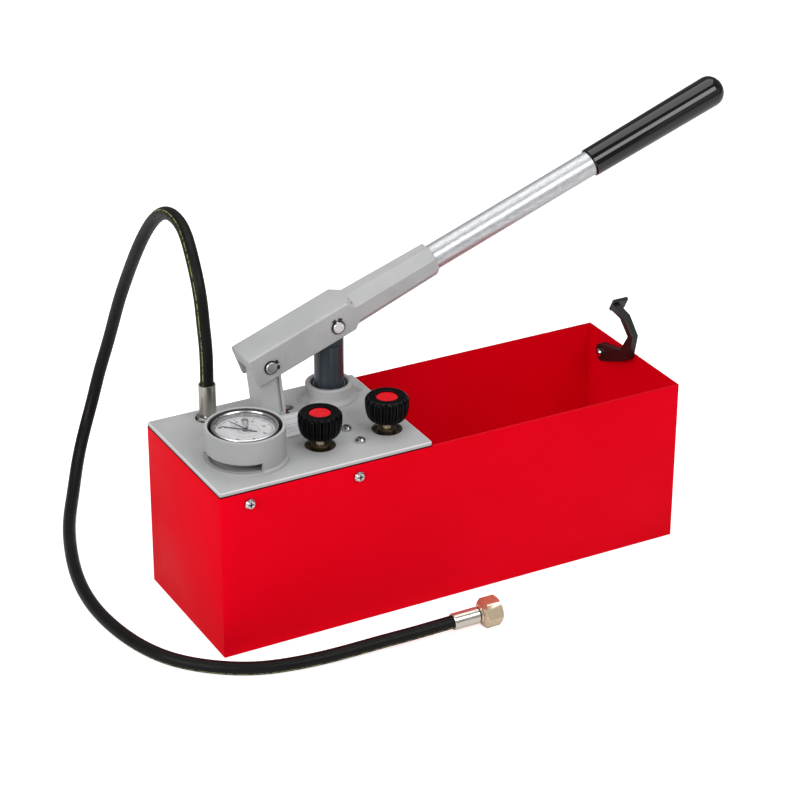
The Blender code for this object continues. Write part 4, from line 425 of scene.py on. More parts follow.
def hook_paint():
    paint = Finish("hook_paint", srgb(18, 18, 19), 0.42, Specular_IOR_Level=0.45)
    paint.colour(paint.noise(80, 3), (0.3, srgb(14, 15, 15)), (0.7, srgb(22, 23, 23)))
    return paint.bump(paint.noise(400, 3), 0.00008, 0.5)


def hook_edge():
    """Paint on the hook's corners, lighter as a painted highlight, and glossier where it is worn thin."""
    paint = Finish("hook_edge", srgb(44, 44, 45), 0.3, Specular_IOR_Level=0.5)
    paint.colour(paint.noise(300, 3), (0.3, srgb(30, 30, 31)), (0.7, srgb(56, 56, 57)))
    return paint.bump(paint.noise(400, 3), 0.00004, 0.4)


def gloss_grip():
    vinyl = Finish("grip_vinyl", srgb(2, 2, 3), 0.07, Specular_IOR_Level=0.6)
    vinyl.rough(vinyl.noise(50, 3), (0.3, 0.06), (0.7, 0.09))
    return vinyl.bump(vinyl.noise(60, 2, (0.4, 2, 2), ALONG_LEVER), 0.0001, 0.25)


def red_cap():
    plastic = Finish("red_cap", srgb(212, 6, 22), 0.24, Specular_IOR_Level=0.18)
    plastic.colour(plastic.noise(120, 2), (0.3, srgb(206, 3, 18)), (0.7, srgb(216, 8, 24)))
    return plastic.bump(plastic.noise(600, 1), 0.00002, 0.3)


def rubber():
    skin = Finish("rubber", srgb(34, 34, 33), 0.55)
    skin.colour(skin.noise(200, 3), (0.3, srgb(28, 28, 27)), (0.7, srgb(40, 40, 38)))
    return skin.bump(skin.noise(1200, 2), 0.00004, 0.5)


def dial_white():
    lacquer = Finish("dial_white", srgb(236, 236, 238), 0.4)
    lacquer.colour(lacquer.noise(90, 2), (0.3, srgb(243, 243, 245)), (0.7, srgb(249, 249, 250)))
    return lacquer.bump(lacquer.noise(900, 1), 0.00001, 0.3)


def ink(name, colour):
    """Printing ink, a little worn."""
    film = Finish(name, colour, 0.5)
    return film.colour(film.noise(900, 2), (0.3, shaded(colour, 0.8)), (0.7, colour))


def clear_glass():
    glass = Finish("window_glass", (1, 1, 1), 0.02, Transmission_Weight=1.0, IOR=1.27)
    return glass.rough(glass.noise(60, 2), (0.3, 0.0), (0.8, 0.04))


def label_foil():
    foil = Finish("label_foil", srgb(226, 227, 230), 0.36, 0.15)
    foil.colour(foil.noise(80, 3), (0.3, srgb(236, 237, 240)), (0.7, srgb(243, 244, 247)))
    return foil.bump(foil.noise(900, 2), 0.00002, 0.3)


FINISHES = {
    red_enamel(): ("tank",),
    cast_paint("cast_paint", 168, 178, (gauge_cup, plate_border)): ("head_plate",),
    cast_paint("lever_paint", 167, 177): ("lever_casting",),
    # a lighter copy of the cast paint for the link: painted light over the shade that the lever casts on it
    cast_paint("link_paint_lit", 178, 188): ("link",),
    zinc_tube(): ("lever_tube",),
    zinc(low=0.14, high=0.26): (
        "tank_screw_1",
        "tank_screw_2",
        "tank_screw_3",
        "tank_screw_4",
        "plate_screw_1",
        "plate_screw_2",
        "hook_screw",
        "hook_nut",
    ),
    zinc("pin_steel", (0.78, 0.78, 0.79), 0.9, 0.3, 0.36): ("lever_pin", "piston_pin"),
    zinc("dull_zinc", (0.55, 0.54, 0.52)): ("hose_adapter",),
    # the upper ferrule's nickel, painted darker to stand in for its dark reflections
    nickel("nickel_with_painted_dark_reflections", 0.68, 1.0): ("hose_ferrule_upper",),
    nickel(): ("hose_ferrule_lower",),
    yellow_zinc(): ("swivel_nut",),
    # the valve block, deepest in the wells, darkened most: painted shade
    gland_brass("block_brass_in_shade", 0.22): ("valve_block",),
    gland_brass(): ("valve_gland_1", "valve_gland_2"),
    brass(): (
        "valve_stem_1",
        "valve_stem_2",
        "gauge_socket",
        "bourdon_tube",
        "gauge_movement",
        "foot_valve",
        "inlet_strainer",
    ),
    chrome(): ("gauge_bezel", "inlet_ball"),
    case_steel(): ("gauge_case",),
    dark_steel(): ("pump_barrel", "hose_tail", "link_pin"),
    blued_steel(): ("piston",),
    black_metal(): ("circlip_1", "circlip_2", "circlip_3", "circlip_4"),
    hand_lacquer(): ("gauge_pointer", "max_pointer"),
    black_plastic(): ("knob_1", "knob_2"),
    hook_paint(): ("hook",),
    gloss_grip(): ("grip",),
    red_cap(): ("knob_cap_1", "knob_cap_2"),
    rubber(): ("scraper_ring", "piston_seal", "nut_seal"),
    dial_white(): ("gauge_dial",),
    clear_glass(): ("gauge_window",),
    label_foil(): ("label_plate",),
}
finish_of = {name: finish for finish, names in FINISHES.items() for name in names}
materials = {
    finish.material.name: finish.material
    for finish in (*FINISHES, reset_metal(), cast_edge(), plastic_edge(), hook_edge(), recess_grime())
}

WELD = 0.000005  # metres; joins the loose corners of a faceted solid
ROUND_UP_TO, SHARP_FROM, FLAT_UP_TO = 33, 35, 1  # degrees between two faces


def paint(piece, material):
    piece.data.materials.clear()
    piece.data.materials.append(material)


def smooth_group():
    """Welds a faceted mesh and shades it smooth, except where its faces meet at a sharp angle."""
    group = bpy.data.node_groups.new("smooth_by_angle", "GeometryNodeTree")
    for way in ("INPUT", "OUTPUT"):
        group.interface.new_socket("Geometry", in_out=way, socket_type="NodeSocketGeometry")
    start, end = (group.nodes.new(f"NodeGroup{way}") for way in ("Input", "Output"))
    weld = group.nodes.new("GeometryNodeMergeByDistance")
    weld.inputs["Distance"].default_value = WELD
    faces = group.nodes.new("GeometryNodeSetShadeSmooth")
    faces.domain = "FACE"
    faces.inputs["Shade Smooth"].default_value = True
    edges = group.nodes.new("GeometryNodeSetShadeSmooth")
    edges.domain = "EDGE"
    edges.inputs["Shade Smooth"].default_value = False
    angle = group.nodes.new("GeometryNodeInputMeshEdgeAngle")
    over = group.nodes.new("FunctionNodeCompare")
    over.operation = "GREATER_THAN"
    over.inputs["B"].default_value = math.radians(ROUND_UP_TO)
    for source, target in (
        (start.outputs[0], weld.inputs["Geometry"]),
        (weld.outputs["Geometry"], faces.inputs["Geometry"]),
        (faces.outputs["Geometry"], edges.inputs["Geometry"]),
        (edges.outputs["Geometry"], end.inputs[0]),
        (angle.outputs["Unsigned Angle"], over.inputs["A"]),
        (over.outputs["Result"], edges.inputs["Selection"]),
    ):
        group.links.new(source, target)
    return group


SMOOTH = smooth_group()
# Edge radii of the cast and moulded pieces, in metres, and the finish of those edges, which is lighter as a
# painted highlight
SOFT_EDGES = {
    "head_plate": (0.0007, "cast_edge"),
    "lever_casting": (0.0004, "cast_edge"),
    "link": (0.0007, "cast_edge"),
    "knob_1": (0.0003, "plastic_edge"),
    "knob_2": (0.0003, "plastic_edge"),
    "hook": (0.0003, "hook_edge"),
}


def soften(piece, width, edge):
    """Rounds a piece's edges, and gives the rounds a finish of their own, lighter as a painted highlight."""
    weld = piece.modifiers.new("weld", "WELD")
    weld.merge_threshold = WELD
    flat = piece.modifiers.new("flat", "DECIMATE")
    flat.decimate_type = "DISSOLVE"
    flat.angle_limit = math.radians(FLAT_UP_TO)
    bevel = piece.modifiers.new("edges", "BEVEL")
    bevel.width = width
    bevel.segments = 2
    bevel.limit_method = "ANGLE"
    bevel.angle_limit = math.radians(SHARP_FROM)
    bevel.use_clamp_overlap = True
    piece.data.materials.append(materials[edge])
    bevel.material = len(piece.data.materials) - 1


# The way that each screw's head faces: the axis, and the lower or upper end of the piece's box
SCREW_HEADS = {
    "tank_screw_1": (1, 0),
    "tank_screw_2": (1, 0),
    "tank_screw_3": (1, 1),
    "tank_screw_4": (1, 1),
    "plate_screw_1": (2, 1),
    "plate_screw_2": (2, 1),
    "hook_screw": (0, 0),
}
RECESS_REACH = 0.31  # of the head's width, from its middle
RECESS_DEPTHS = (0.0001, 0.0025)  # below the head's top, in metres, between which its faces lie


def darken_recess(name, piece):
    """Gives the faces inside the cross recess of a screw's head their own dark finish, as painted shade."""
    axis, end = SCREW_HEADS[name]
    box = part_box(name)
    across = [k for k in range(3) if k != axis]
    reach = (box[1][across[0]] - box[0][across[0]]) * RECESS_REACH
    # the recess's faces are painted dark: painted shade
    piece.data.materials.append(materials["recess_grime"])
    for face in piece.data.polygons:
        depth = abs(face.center[axis] - box[end][axis])
        off = math.hypot(*(face.center[k] - (box[0][k] + box[1][k]) / 2 for k in across))
        if RECESS_DEPTHS[0] < depth < RECESS_DEPTHS[1] and off < reach:
            face.material_index = len(piece.data.materials) - 1


for name, piece in nodes.items():
    if name in finish_of:
        paint(piece, finish_of[name].material)
    if name in SCREW_HEADS:
        darken_recess(name, piece)
    if name in SOFT_EDGES:
        soften(piece, *SOFT_EDGES[name])
    piece.modifiers.new("smooth", "NODES").node_group = SMOOTH
    if name in SOFT_EDGES:
        piece.modifiers.new("even", "WEIGHTED_NORMAL").keep_sharp = True


# Mesh helpers


def piece_from(name, verts, faces, material, body, smooth=True):
    mesh = bpy.data.meshes.new(name)
    mesh.from_pydata([tuple(v) for v in verts], [], faces)
    mesh.update()
    piece = bpy.data.objects.new(name, mesh)
    scene.collection.objects.link(piece)
    mesh.materials.append(material)
    if smooth:
        mesh.shade_smooth()
        mesh.set_sharp_from_angle(angle=math.radians(SHARP_FROM))
    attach(piece, body)
    return piece


# Hose
HOSE_RADIUS = 0.00675
HOSE_SIDES = 28
HOSE_RINGS = 420
HOSE_LINE_SIDE = (-0.86, -0.5, 0)  # where the printed line is, seen from the hose's middle at its upper end
HOSE_TWIST = math.radians(34)  # of that line, taken up over the share of the length that the next two give
HOSE_TWIST_FROM, HOSE_TWIST_OVER = 0.3, 0.4
HOSE_LINE_HALF = (0.017, 0.012)  # where it fades out and where it is full, in turns from its middle
HOSE_CLOTH_SCALE = 110  # of the wave that draws the curing cloth's marks, for each metre of hose
HOSE_CLOTH_SLANT = 0.02  # of those marks, in radians
HOSE_WELD = 0.000001  # joins the hose's two long edges
SPLINE_SAMPLES = 4000
HOSE_ROUTE = (
    (-0.2010, 0.0650, 0.2100),
    (-0.2010, 0.0650, 0.2200),
    (-0.2010, 0.0650, 0.2520),
    (-0.2020, 0.0670, 0.2810),
    (-0.2020, 0.0715, 0.3050),
    (-0.2010, 0.0820, 0.3260),
    (-0.1980, 0.1000, 0.3430),
    (-0.1920, 0.1310, 0.3560),
    (-0.1880, 0.1770, 0.3550),
    (-0.1870, 0.2330, 0.3170),
    (-0.1870, 0.2670, 0.2770),
    (-0.1860, 0.2970, 0.2380),
    (-0.1870, 0.3200, 0.2010),
    (-0.1890, 0.3370, 0.1660),
    (-0.1930, 0.3490, 0.1340),
    (-0.2000, 0.3558, 0.1030),
    (-0.2095, 0.3553, 0.0730),
    (-0.2240, 0.3455, 0.0450),
    (-0.2455, 0.3160, 0.0240),
    (-0.2660, 0.2790, 0.0125),
    (-0.2920, 0.2270, 0.0080),
    (-0.3140, 0.1690, 0.0070),
    (-0.3300, 0.1090, 0.0070),
    (-0.3365, 0.0470, 0.0070),
    (-0.3336, 0.0050, 0.0070),
    (-0.3270, -0.0280, 0.0070),
    (-0.3060, -0.0750, 0.0070),
    (-0.2770, -0.1050, 0.0070),
    (-0.2440, -0.1250, 0.0070),
    (-0.2070, -0.1353, 0.0072),
    (-0.1663, -0.1406, 0.0080),
    (-0.1237, -0.1436, 0.0098),
    (-0.0809, -0.1472, 0.0118),
    (-0.0420, -0.1493, 0.0135),
    (-0.0343, -0.1493, 0.0135),
)


def spline(points, count):
    """A natural cubic spline through the points, sampled at even steps of its length."""
    route = np.array(points)
    knots = np.concatenate(([0.0], np.cumsum(np.linalg.norm(np.diff(route, axis=0), axis=1))))
    gaps = np.diff(knots)[:, None]
    slopes = np.diff(route, axis=0) / gaps
    size = len(route)
    system, rates = np.eye(size), np.zeros_like(route)
    for i in range(1, size - 1):
        system[i, i - 1 : i + 2] = (gaps[i - 1, 0], 2 * (gaps[i - 1, 0] + gaps[i, 0]), gaps[i, 0])
        rates[i] = 6 * (slopes[i] - slopes[i - 1])
    bends = np.linalg.solve(system, rates)
    places = np.linspace(0, knots[-1], SPLINE_SAMPLES)
    i = np.clip(np.searchsorted(knots, places) - 1, 0, size - 2)
    gap = gaps[i]
    a = (knots[i + 1] - places)[:, None] / gap
    b = 1 - a
    fine = a * route[i] + b * route[i + 1] + ((a**3 - a) * bends[i] + (b**3 - b) * bends[i + 1]) * gap**2 / 6
    length = np.concatenate(([0.0], np.cumsum(np.linalg.norm(np.diff(fine, axis=0), axis=1))))
    even = np.linspace(0, length[-1], count)
    return np.stack([np.interp(even, length, fine[:, k]) for k in range(3)], axis=1), length[-1]


def hose_skin(length):
    """Rubber with the fine wrap marks of its curing cloth, and one worn printed line along it."""
    skin = Finish("hose_rubber", srgb(16, 16, 15), 0.42, Specular_IOR_Level=0.16)
    uv = skin.node("ShaderNodeUVMap", uv_map="around")
    split = skin.node("ShaderNodeSeparateXYZ")
    skin.link(uv.outputs["UV"], split.inputs["Vector"])
    line = skin.fade(skin.math("ABSOLUTE", skin.math("SUBTRACT", split.outputs["Y"], 0.5)), *HOSE_LINE_HALF)
    worn = skin.ramp(skin.noise(260, 3), ((0.4, 0.1), (0.54, 1.0)))
    both = skin.math("MULTIPLY", line, worn)
    base = skin.ramp(skin.noise(60, 4), ((0.3, srgb(11, 11, 10)), (0.7, srgb(19, 19, 18))))
    skin.link(skin.mix(both, base, srgb(138, 136, 78)), skin.shader.inputs["Base Color"])
    skin.rough(skin.noise(300, 3), (0.3, 0.36), (0.7, 0.54))
    wrap = skin.node("ShaderNodeTexWave", wave_type="BANDS", bands_direction="X", Scale=1.0, Distortion=0.6)
    turn = skin.node("ShaderNodeMapping")
    turn.inputs["Scale"].default_value = (HOSE_CLOTH_SCALE * length, 2, 1)
    turn.inputs["Rotation"].default_value = (0, 0, HOSE_CLOTH_SLANT)
    skin.link(uv.outputs["UV"], turn.inputs["Vector"])
    skin.link(turn.outputs["Vector"], wrap.inputs["Vector"])
    return skin.bump(wrap.outputs["Fac"], 0.00006, 0.35).bump(skin.noise(1100, 3), 0.00006, 0.5)


def make_hose():
    path, length = spline(HOSE_ROUTE, HOSE_RINGS)
    ways = np.gradient(path, axis=0)
    ways /= np.linalg.norm(ways, axis=1)[:, None]
    side = Vector(HOSE_LINE_SIDE).normalized()
    verts, spots = [], []
    for i, (centre, way) in enumerate(zip(path, ways)):
        way = Vector(way)
        side = (side - way * side.dot(way)).normalized()
        other = way.cross(side)
        twist = HOSE_TWIST * min(1, max(0, (i / HOSE_RINGS - HOSE_TWIST_FROM) / HOSE_TWIST_OVER))
        for j in range(HOSE_SIDES + 1):
            angle = math.tau * (j / HOSE_SIDES - 0.5) + twist
            verts.append(Vector(centre) + HOSE_RADIUS * (math.cos(angle) * side + math.sin(angle) * other))
            spots.append((i / (HOSE_RINGS - 1), j / HOSE_SIDES))
    row = HOSE_SIDES + 1
    faces = [
        (i * row + j, i * row + j + 1, (i + 1) * row + j + 1, (i + 1) * row + j)
        for i in range(HOSE_RINGS - 1)
        for j in range(HOSE_SIDES)
    ]
    faces += [tuple(range(HOSE_SIDES))[::-1], tuple((HOSE_RINGS - 1) * row + j for j in range(HOSE_SIDES))]
    piece = piece_from("pressure_hose", verts, faces, hose_skin(length).material, "pump")
    layer = piece.data.uv_layers.new(name="around")
    for loop in piece.data.loops:
        layer.data[loop.index].uv = spots[loop.vertex_index]
    bm = bmesh.new()
    bm.from_mesh(piece.data)
    bmesh.ops.remove_doubles(bm, verts=bm.verts, dist=HOSE_WELD)
    bmesh.ops.recalc_face_normals(bm, faces=bm.faces)
    bm.to_mesh(piece.data)
    bm.free()
    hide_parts("hose")


make_hose()


# Printed and small raised marks. Angles on the dial are from +X, where its middle figure is
GAUGE = Vector((CUP_X, CUP_Y, 0))
DIAL_TOP = 0.2082
INK = 0.00006
INK_GAP = 0.00002
SCALE_START, SCALE_SWEEP, SCALE_UNITS, FIGURE_EVERY = 135, 270, 60, 10
TICK_END = 0.0266
# every, inner radius, width
TICKS = ((FIGURE_EVERY, 0.0232, 0.00055), (5, 0.0244, 0.0004), (1, 0.0252, 0.00022))
FIGURE_RADIUS, FIGURE_SIZE = 0.0198, 0.0046
STOP_ANGLE, STOP_WIDTH, STOP_RISE = 141, 0.0008, 0.0006
# radius, width, start, sweep, steps
DIAL_ARC = (0.0269, 0.00035, -135, 270, 90)
DIAL_RINGS = ((0.0062, 0.0003, 0, 360, 40), (0.0139, 0.00018, -150, 300, 60))


def slab(outline, low, high):
    """An outline, given anticlockwise, as a thin prism."""
    count = len(outline)
    verts = [(x, y, z) for z in (low, high) for x, y in outline]
    faces = [tuple(range(count))[::-1], tuple(range(count, 2 * count))]
    faces += [(i, (i + 1) % count, count + (i + 1) % count, count + i) for i in range(count)]
    return verts, faces


def merge(parts):
    """Several meshes as one."""
    verts, faces = [], []
    for more, sides in parts:
        faces += [tuple(i + len(verts) for i in side) for side in sides]
        verts += more
    return verts, faces


def bar(start, end, width, low, high):
    """A straight line of the given width between two places."""
    along = (Vector(end) - Vector(start)).normalized() * width / 2
    side = Vector((-along.y, along.x))
    corners = [Vector(start) - side, Vector(end) - side, Vector(end) + side, Vector(start) + side]
    return slab([tuple(c) for c in corners], low, high)


def polar(radius, degrees):
    """A place on the dial."""
    return GAUGE.xy + radius * Vector((math.cos(math.radians(degrees)), math.sin(math.radians(degrees))))


def ring(radius, width, start, sweep, steps, low, high):
    """An arc of a flat ring on the dial, as short slabs."""
    parts = []
    for i in range(steps):
        spots = []
        for side, step in ((-1, i), (1, i), (1, i + 1), (-1, i + 1)):
            reach, angle = radius + side * width / 2, math.radians(start + sweep * step / steps)
            spots.append((GAUGE.x + reach * math.cos(angle), GAUGE.y + reach * math.sin(angle)))
        parts.append(slab(spots, low, high))
    return merge(parts)


def add_digits(name, text, at, size, turn, material, z):
    """Plain figures laid flat on the dial."""
    curve = bpy.data.curves.new(name, "FONT")
    curve.body = text
    curve.size = size
    curve.align_x, curve.align_y = "CENTER", "CENTER"
    curve.extrude = INK / 2
    figure = bpy.data.objects.new(name, curve)
    scene.collection.objects.link(figure)
    evaluated = figure.evaluated_get(bpy.context.evaluated_depsgraph_get())
    shape = bpy.data.meshes.new_from_object(evaluated)
    bpy.data.objects.remove(figure)
    shape.transform(Matrix.Translation((at[0], at[1], z)) @ Matrix.Rotation(turn, 4, "Z"))
    shape.name = name
    piece = bpy.data.objects.new(name, shape)
    scene.collection.objects.link(piece)
    paint(piece, material)
    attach(piece, "pump")
    return piece


def add_dial_print():
    """A bare scale with its figures."""
    black = ink("dial_ink", srgb(52, 52, 55)).material
    grey = ink("dial_grey_ink", srgb(120, 122, 128)).material
    low, high = DIAL_TOP + INK_GAP, DIAL_TOP + INK
    ticks = []
    for i in range(SCALE_UNITS + 1):
        angle = SCALE_START - SCALE_SWEEP * i / SCALE_UNITS
        inner, width = next((inner, width) for every, inner, width in TICKS if i % every == 0)
        ticks.append(bar(polar(inner, angle), polar(TICK_END, angle), width, low, high))
    piece_from("dial_ticks", *merge(ticks), black, "pump", False)
    arc = ring(*DIAL_ARC, low, high)
    piece_from("dial_arc", *arc, grey, "pump", False)
    height = DIAL_TOP + INK / 2
    for i, units in enumerate(range(0, SCALE_UNITS + 1, FIGURE_EVERY)):
        at = polar(FIGURE_RADIUS, SCALE_START - SCALE_SWEEP * units / SCALE_UNITS)
        figure = add_digits(f"dial_figure_{i}", str(units), at, FIGURE_SIZE, -math.pi / 2, black, height)
    boss = merge([ring(*size, low, high) for size in DIAL_RINGS])
    piece_from("dial_rings", *boss, grey, "pump", False)
    start, end = polar(TICKS[0][1], STOP_ANGLE), polar(TICK_END, STOP_ANGLE)
    stop = bar(start, end, STOP_WIDTH, low, high + STOP_RISE)
    piece_from("dial_stop", *stop, black, "pump", False)


def spun(profile, steps, centre, wave=None):
    """A closed profile of radius and height turned about a centre; wave shifts the radius with the angle."""
    count = len(profile)
    verts = []
    for i in range(steps):
        angle = math.tau * i / steps
        for radius, height in profile:
            reach = radius + (wave(angle, radius, height) if wave else 0)
            verts.append((centre[0] + reach * math.cos(angle), centre[1] + reach * math.sin(angle), height))
    faces = []
    for i in range(steps):
        this, other = i * count, (i + 1) % steps * count
        for j in range(count):
            after = (j + 1) % count
            faces.append((this + j, other + j, other + after, this + after))
    return verts, faces


# The bezel's inner wall, radius and height, and the mark on it: angle, half width, heights and depths
BEZEL_WALL = ((0.0289, 0.20832), (0.0302, 0.20832), (0.0303, 0.21165), (0.0298, 0.21165))
BEZEL_WALL_SLOPE = 0.27  # of its inner side, on which the mark lies
BEZEL_WALL_STEPS = 96
MARK_ANGLE, MARK_HALF, MARK_FOOT, MARK_TIP = 70.5, 0.0011, 0.2092, 0.2113
MARK_DEPTHS = (0.00005, 0.0002)


def add_bezel_wall():
    """The bezel's sloping inner wall below the window, with the small white mark on its far side."""
    satin = Finish("bezel_wall", (0.50, 0.50, 0.52), 0.32, 0.7)
    satin.colour(satin.noise(300, 3), (0.3, (0.44, 0.44, 0.46)), (0.7, (0.56, 0.56, 0.58)))
    satin.bump(satin.noise(120, 2, (1, 1, 8)), 0.00003, 0.4)
    wall = piece_from("gauge_bezel_wall", *spun(BEZEL_WALL, BEZEL_WALL_STEPS, GAUGE), satin.material, "pump")
    radius, foot = BEZEL_WALL[0]
    verts = []
    for depth in MARK_DEPTHS:
        for along, height in ((-MARK_HALF, MARK_FOOT), (MARK_HALF, MARK_FOOT), (0, MARK_TIP)):
            reach = radius + (height - foot) * BEZEL_WALL_SLOPE - depth
            angle = math.radians(MARK_ANGLE) + along / reach
            verts.append((GAUGE.x + reach * math.cos(angle), GAUGE.y + reach * math.sin(angle), height))
    faces = [(0, 1, 2), (5, 4, 3), (0, 3, 4, 1), (1, 4, 5, 2), (2, 5, 3, 0)]
    white = ink("mark_white", (0.9, 0.9, 0.9)).material
    mark = piece_from("gauge_zero_mark", verts, faces, white, "pump", False)


# The reset knob's sleeve, radius and height: its knurled outside, and the hollow in its top
KNOB_FOOT, KNOB_BORE = 0.2135, 0.0005
KNOB_OUTSIDE = (
    (0.0031, KNOB_FOOT),
    (0.0034, 0.2139),
    (0.0034, 0.2168),
    (0.0034, 0.2197),
    (0.0033, 0.2203),
    (0.0029, 0.2206),
)
KNOB_HOLLOW = ((0.0022, 0.22062), (0.0018, 0.22045), (KNOB_BORE, 0.22045))
KNURL_TEETH, KNURL_DEPTH, KNURL_STEPS = 18, 0.00022, 8  # the steps are those of one tooth
KNURL_LOW, KNURL_HIGH = (0.2137, 0.0004), (0.2203, 0.0006)  # where it ends, and over what height it tapers


def knurl(angle, radius, height):
    """How far the teeth stand out, tapering off at the sleeve's two ends."""
    upper = min(1, max(0, (KNURL_HIGH[0] - height) / KNURL_HIGH[1]))
    lower = min(1, max(0, (height - KNURL_LOW[0]) / KNURL_LOW[1]))
    share = upper * lower
    return KNURL_DEPTH * share * math.cos(KNURL_TEETH * angle) if radius > KNOB_OUTSIDE[0][0] else 0


def add_reset_knob():
    """The knurled sleeve of the maximum hand's knob."""
    profile = [(KNOB_BORE, KNOB_FOOT), *KNOB_OUTSIDE, *KNOB_HOLLOW]
    mesh = spun(profile, KNURL_TEETH * KNURL_STEPS, GAUGE, knurl)
    sleeve = piece_from("reset_knob", *mesh, materials["reset_metal"], "max_hand")


# The label's print: its border, its rows, its column, and the heights and widths of the lines
LABEL_LEFT, LABEL_RIGHT, LABEL_FRONT, LABEL_BACK = -0.1567, -0.1093, -0.0107, 0.0322
LABEL_ROWS, LABEL_COLUMN = (-0.003, 0.0045, 0.012, 0.0225), -0.131
LABEL_INK = (0.18112, 0.18117)
LABEL_BORDER = 0.00035
LABEL_RULE = LABEL_BORDER * 0.7


def add_label_print():
    """Border, rows and column of the blank rating label."""
    grey = ink("label_ink", srgb(70, 72, 76)).material
    left, right, front, back = LABEL_LEFT, LABEL_RIGHT, LABEL_FRONT, LABEL_BACK
    border = (
        ((left, front), (right, front)),
        ((left, back), (right, back)),
        ((left, front), (left, back)),
        ((right, front), (right, back)),
    )
    lines = [bar(start, end, LABEL_BORDER, *LABEL_INK) for start, end in border]
    lines += [bar((left, y), (right, y), LABEL_RULE, *LABEL_INK) for y in LABEL_ROWS]
    lines.append(bar((LABEL_COLUMN, front), (LABEL_COLUMN, LABEL_ROWS[2]), LABEL_RULE, *LABEL_INK))
    piece_from("label_lines", *merge(lines), grey, "pump", False)


# Mould marks on the lever: the pin that it turns on, their middles from there along and across it, and their
# shape
LEVER_PIN = Vector((-0.1475, 0.051, 0.2380))
MOULD_MARKS = ((0.0207, 0.0014), (0.0605, 0.0015))
MOULD_MARK_RADIUS, MOULD_MARK_STEPS = 0.0042, 48
MOULD_MARK_PROFILE = ((-0.0004, 0.0002), (-0.00015, -0.0003), (0.00015, -0.0003), (0.0004, 0.0002))


def add_mould_marks():
    """Two faint round marks that the mould leaves on the lever's front cheek."""
    verts, faces = [], []
    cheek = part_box("lever_casting")[0][1]
    sine, cosine = math.sin(math.radians(LEVER_ANGLE)), math.cos(math.radians(LEVER_ANGLE))
    steps, count = MOULD_MARK_STEPS, len(MOULD_MARK_PROFILE)
    for middle_along, middle_across in MOULD_MARKS:
        first = len(verts)
        for i in range(steps):
            angle = math.tau * i / steps
            for wide, out in MOULD_MARK_PROFILE:
                along = middle_along + (MOULD_MARK_RADIUS + wide) * math.cos(angle)
                across = middle_across + (MOULD_MARK_RADIUS + wide) * math.sin(angle)
                x = LEVER_PIN.x + along * cosine - across * sine
                z = LEVER_PIN.z + along * sine + across * cosine
                verts.append((x, cheek + out, z))
        for i in range(steps):
            this, other = first + i * count, first + (i + 1) % steps * count
            for j in range(count):
                after = (j + 1) % count
                faces.append((this + j, this + after, other + after, other + j))
    piece = piece_from("lever_mould_marks", verts, faces, materials["lever_paint"], "lever")


LIP_GAP, LIP_WALL, LIP_HEIGHT, LIP_STEPS = 0.0006, 0.0005, 0.0008, 72


def add_wiper_lip():
    """The thin steel lip that stands out of the scraper ring round the piston."""
    low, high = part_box("scraper_ring")
    centre, top = [(a + b) / 2 for a, b in zip(low, high)][:2], high[2]
    inner = (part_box("piston")[1][1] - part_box("piston")[0][1]) / 2 + LIP_GAP
    outer, rim = inner + LIP_WALL, top + LIP_HEIGHT
    mesh = spun([(inner, top), (outer, top), (outer, rim), (inner, rim)], LIP_STEPS, centre)
    lip = piece_from("scraper_lip", *mesh, materials["reset_metal"], "pump")


add_dial_print()
add_bezel_wall()
add_reset_knob()
add_label_print()
add_mould_marks()
add_wiper_lip()


# Stage
FLOOR_SIZE, FLOOR_Z, FLOOR_GREY = 14, -0.0004, 0.78
# What the floor adds to itself for each kind of ray, so that it shows white
FLOOR_GLOW = (("Is Camera Ray", 0.75), ("Is Transmission Ray", 0.5), ("Is Glossy Ray", 0.12))
WORLD_LEVEL, WORLD_IN_GLOSS = 0.335, 0.24
# name, place, size, power
LAMPS = (
    ("front", (0.6, -2.0, 2.0), (1.9, 1.05), 29),
    ("left", (-2.7, -1.0, 1.7), (2.0, 1.6), 53),
    ("right", (2.2, -2.2, 1.2), (2.0, 1.6), 3),
    ("top", (0.3, 0.6, 2.8), (2.8, 2.2), 34),
)
LAMPS_AIM = (0, 0, 0.15)


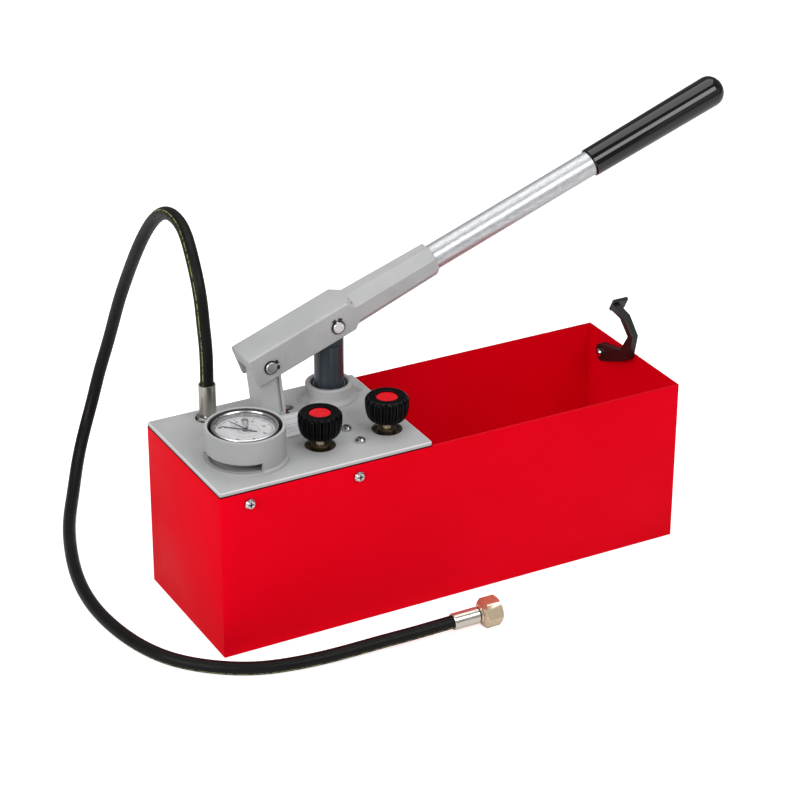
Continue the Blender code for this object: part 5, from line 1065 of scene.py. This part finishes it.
def add_floor():
    bpy.ops.mesh.primitive_plane_add(size=FLOOR_SIZE, location=(0, 0, FLOOR_Z))
    floor = bpy.context.object
    floor.name = "floor"
    material = bpy.data.materials.new("floor_white")
    material.use_nodes = True
    tree = material.node_tree
    tree.nodes.clear()
    out = tree.nodes.new("ShaderNodeOutputMaterial")
    lit = tree.nodes.new("ShaderNodeBsdfDiffuse")
    lit.inputs["Color"].default_value = (FLOOR_GREY, FLOOR_GREY, FLOOR_GREY, 1)
    own = tree.nodes.new("ShaderNodeEmission")
    own.inputs["Color"].default_value = (1, 1, 1, 1)
    seen = tree.nodes.new("ShaderNodeLightPath")
    both = tree.nodes.new("ShaderNodeAddShader")
    links = tree.links
    total = None
    for ray, level in FLOOR_GLOW:
        share = tree.nodes.new("ShaderNodeMath")
        share.operation = "MULTIPLY_ADD"
        share.inputs[1].default_value = level
        share.inputs[2].default_value = 0
        links.new(seen.outputs[ray], share.inputs[0])
        if total:
            links.new(total, share.inputs[2])
        total = share.outputs[0]
    links.new(total, own.inputs["Strength"])
    links.new(lit.outputs[0], both.inputs[0])
    links.new(own.outputs[0], both.inputs[1])
    links.new(both.outputs[0], out.inputs["Surface"])
    paint(floor, material)


def add_world():
    """White light from all round, with a level of its own for reflections."""
    world = bpy.data.worlds.new("studio")
    scene.world = world
    world.use_nodes = True
    tree = world.node_tree
    back = tree.nodes["Background"]
    back.inputs["Color"].default_value = (1, 1, 1, 1)
    seen = tree.nodes.new("ShaderNodeLightPath")
    level = tree.nodes.new("ShaderNodeMath")
    level.operation = "MULTIPLY_ADD"
    level.inputs[1].default_value = WORLD_IN_GLOSS - WORLD_LEVEL
    level.inputs[2].default_value = WORLD_LEVEL
    tree.links.new(seen.outputs["Is Glossy Ray"], level.inputs[0])
    tree.links.new(level.outputs[0], back.inputs["Strength"])


def add_lamp(name, at, size, power):
    data = bpy.data.lights.new(name, "AREA")
    data.shape = "RECTANGLE"
    data.size, data.size_y = size
    data.energy = power
    lamp = bpy.data.objects.new(name, data)
    lamp.location = at
    lamp.rotation_euler = (Vector(LAMPS_AIM) - Vector(at)).to_track_quat("-Z", "Y").to_euler()
    scene.collection.objects.link(lamp)


add_floor()
add_world()
for lamp in LAMPS:
    add_lamp(*lamp)
scene.view_settings.view_transform = "Standard"
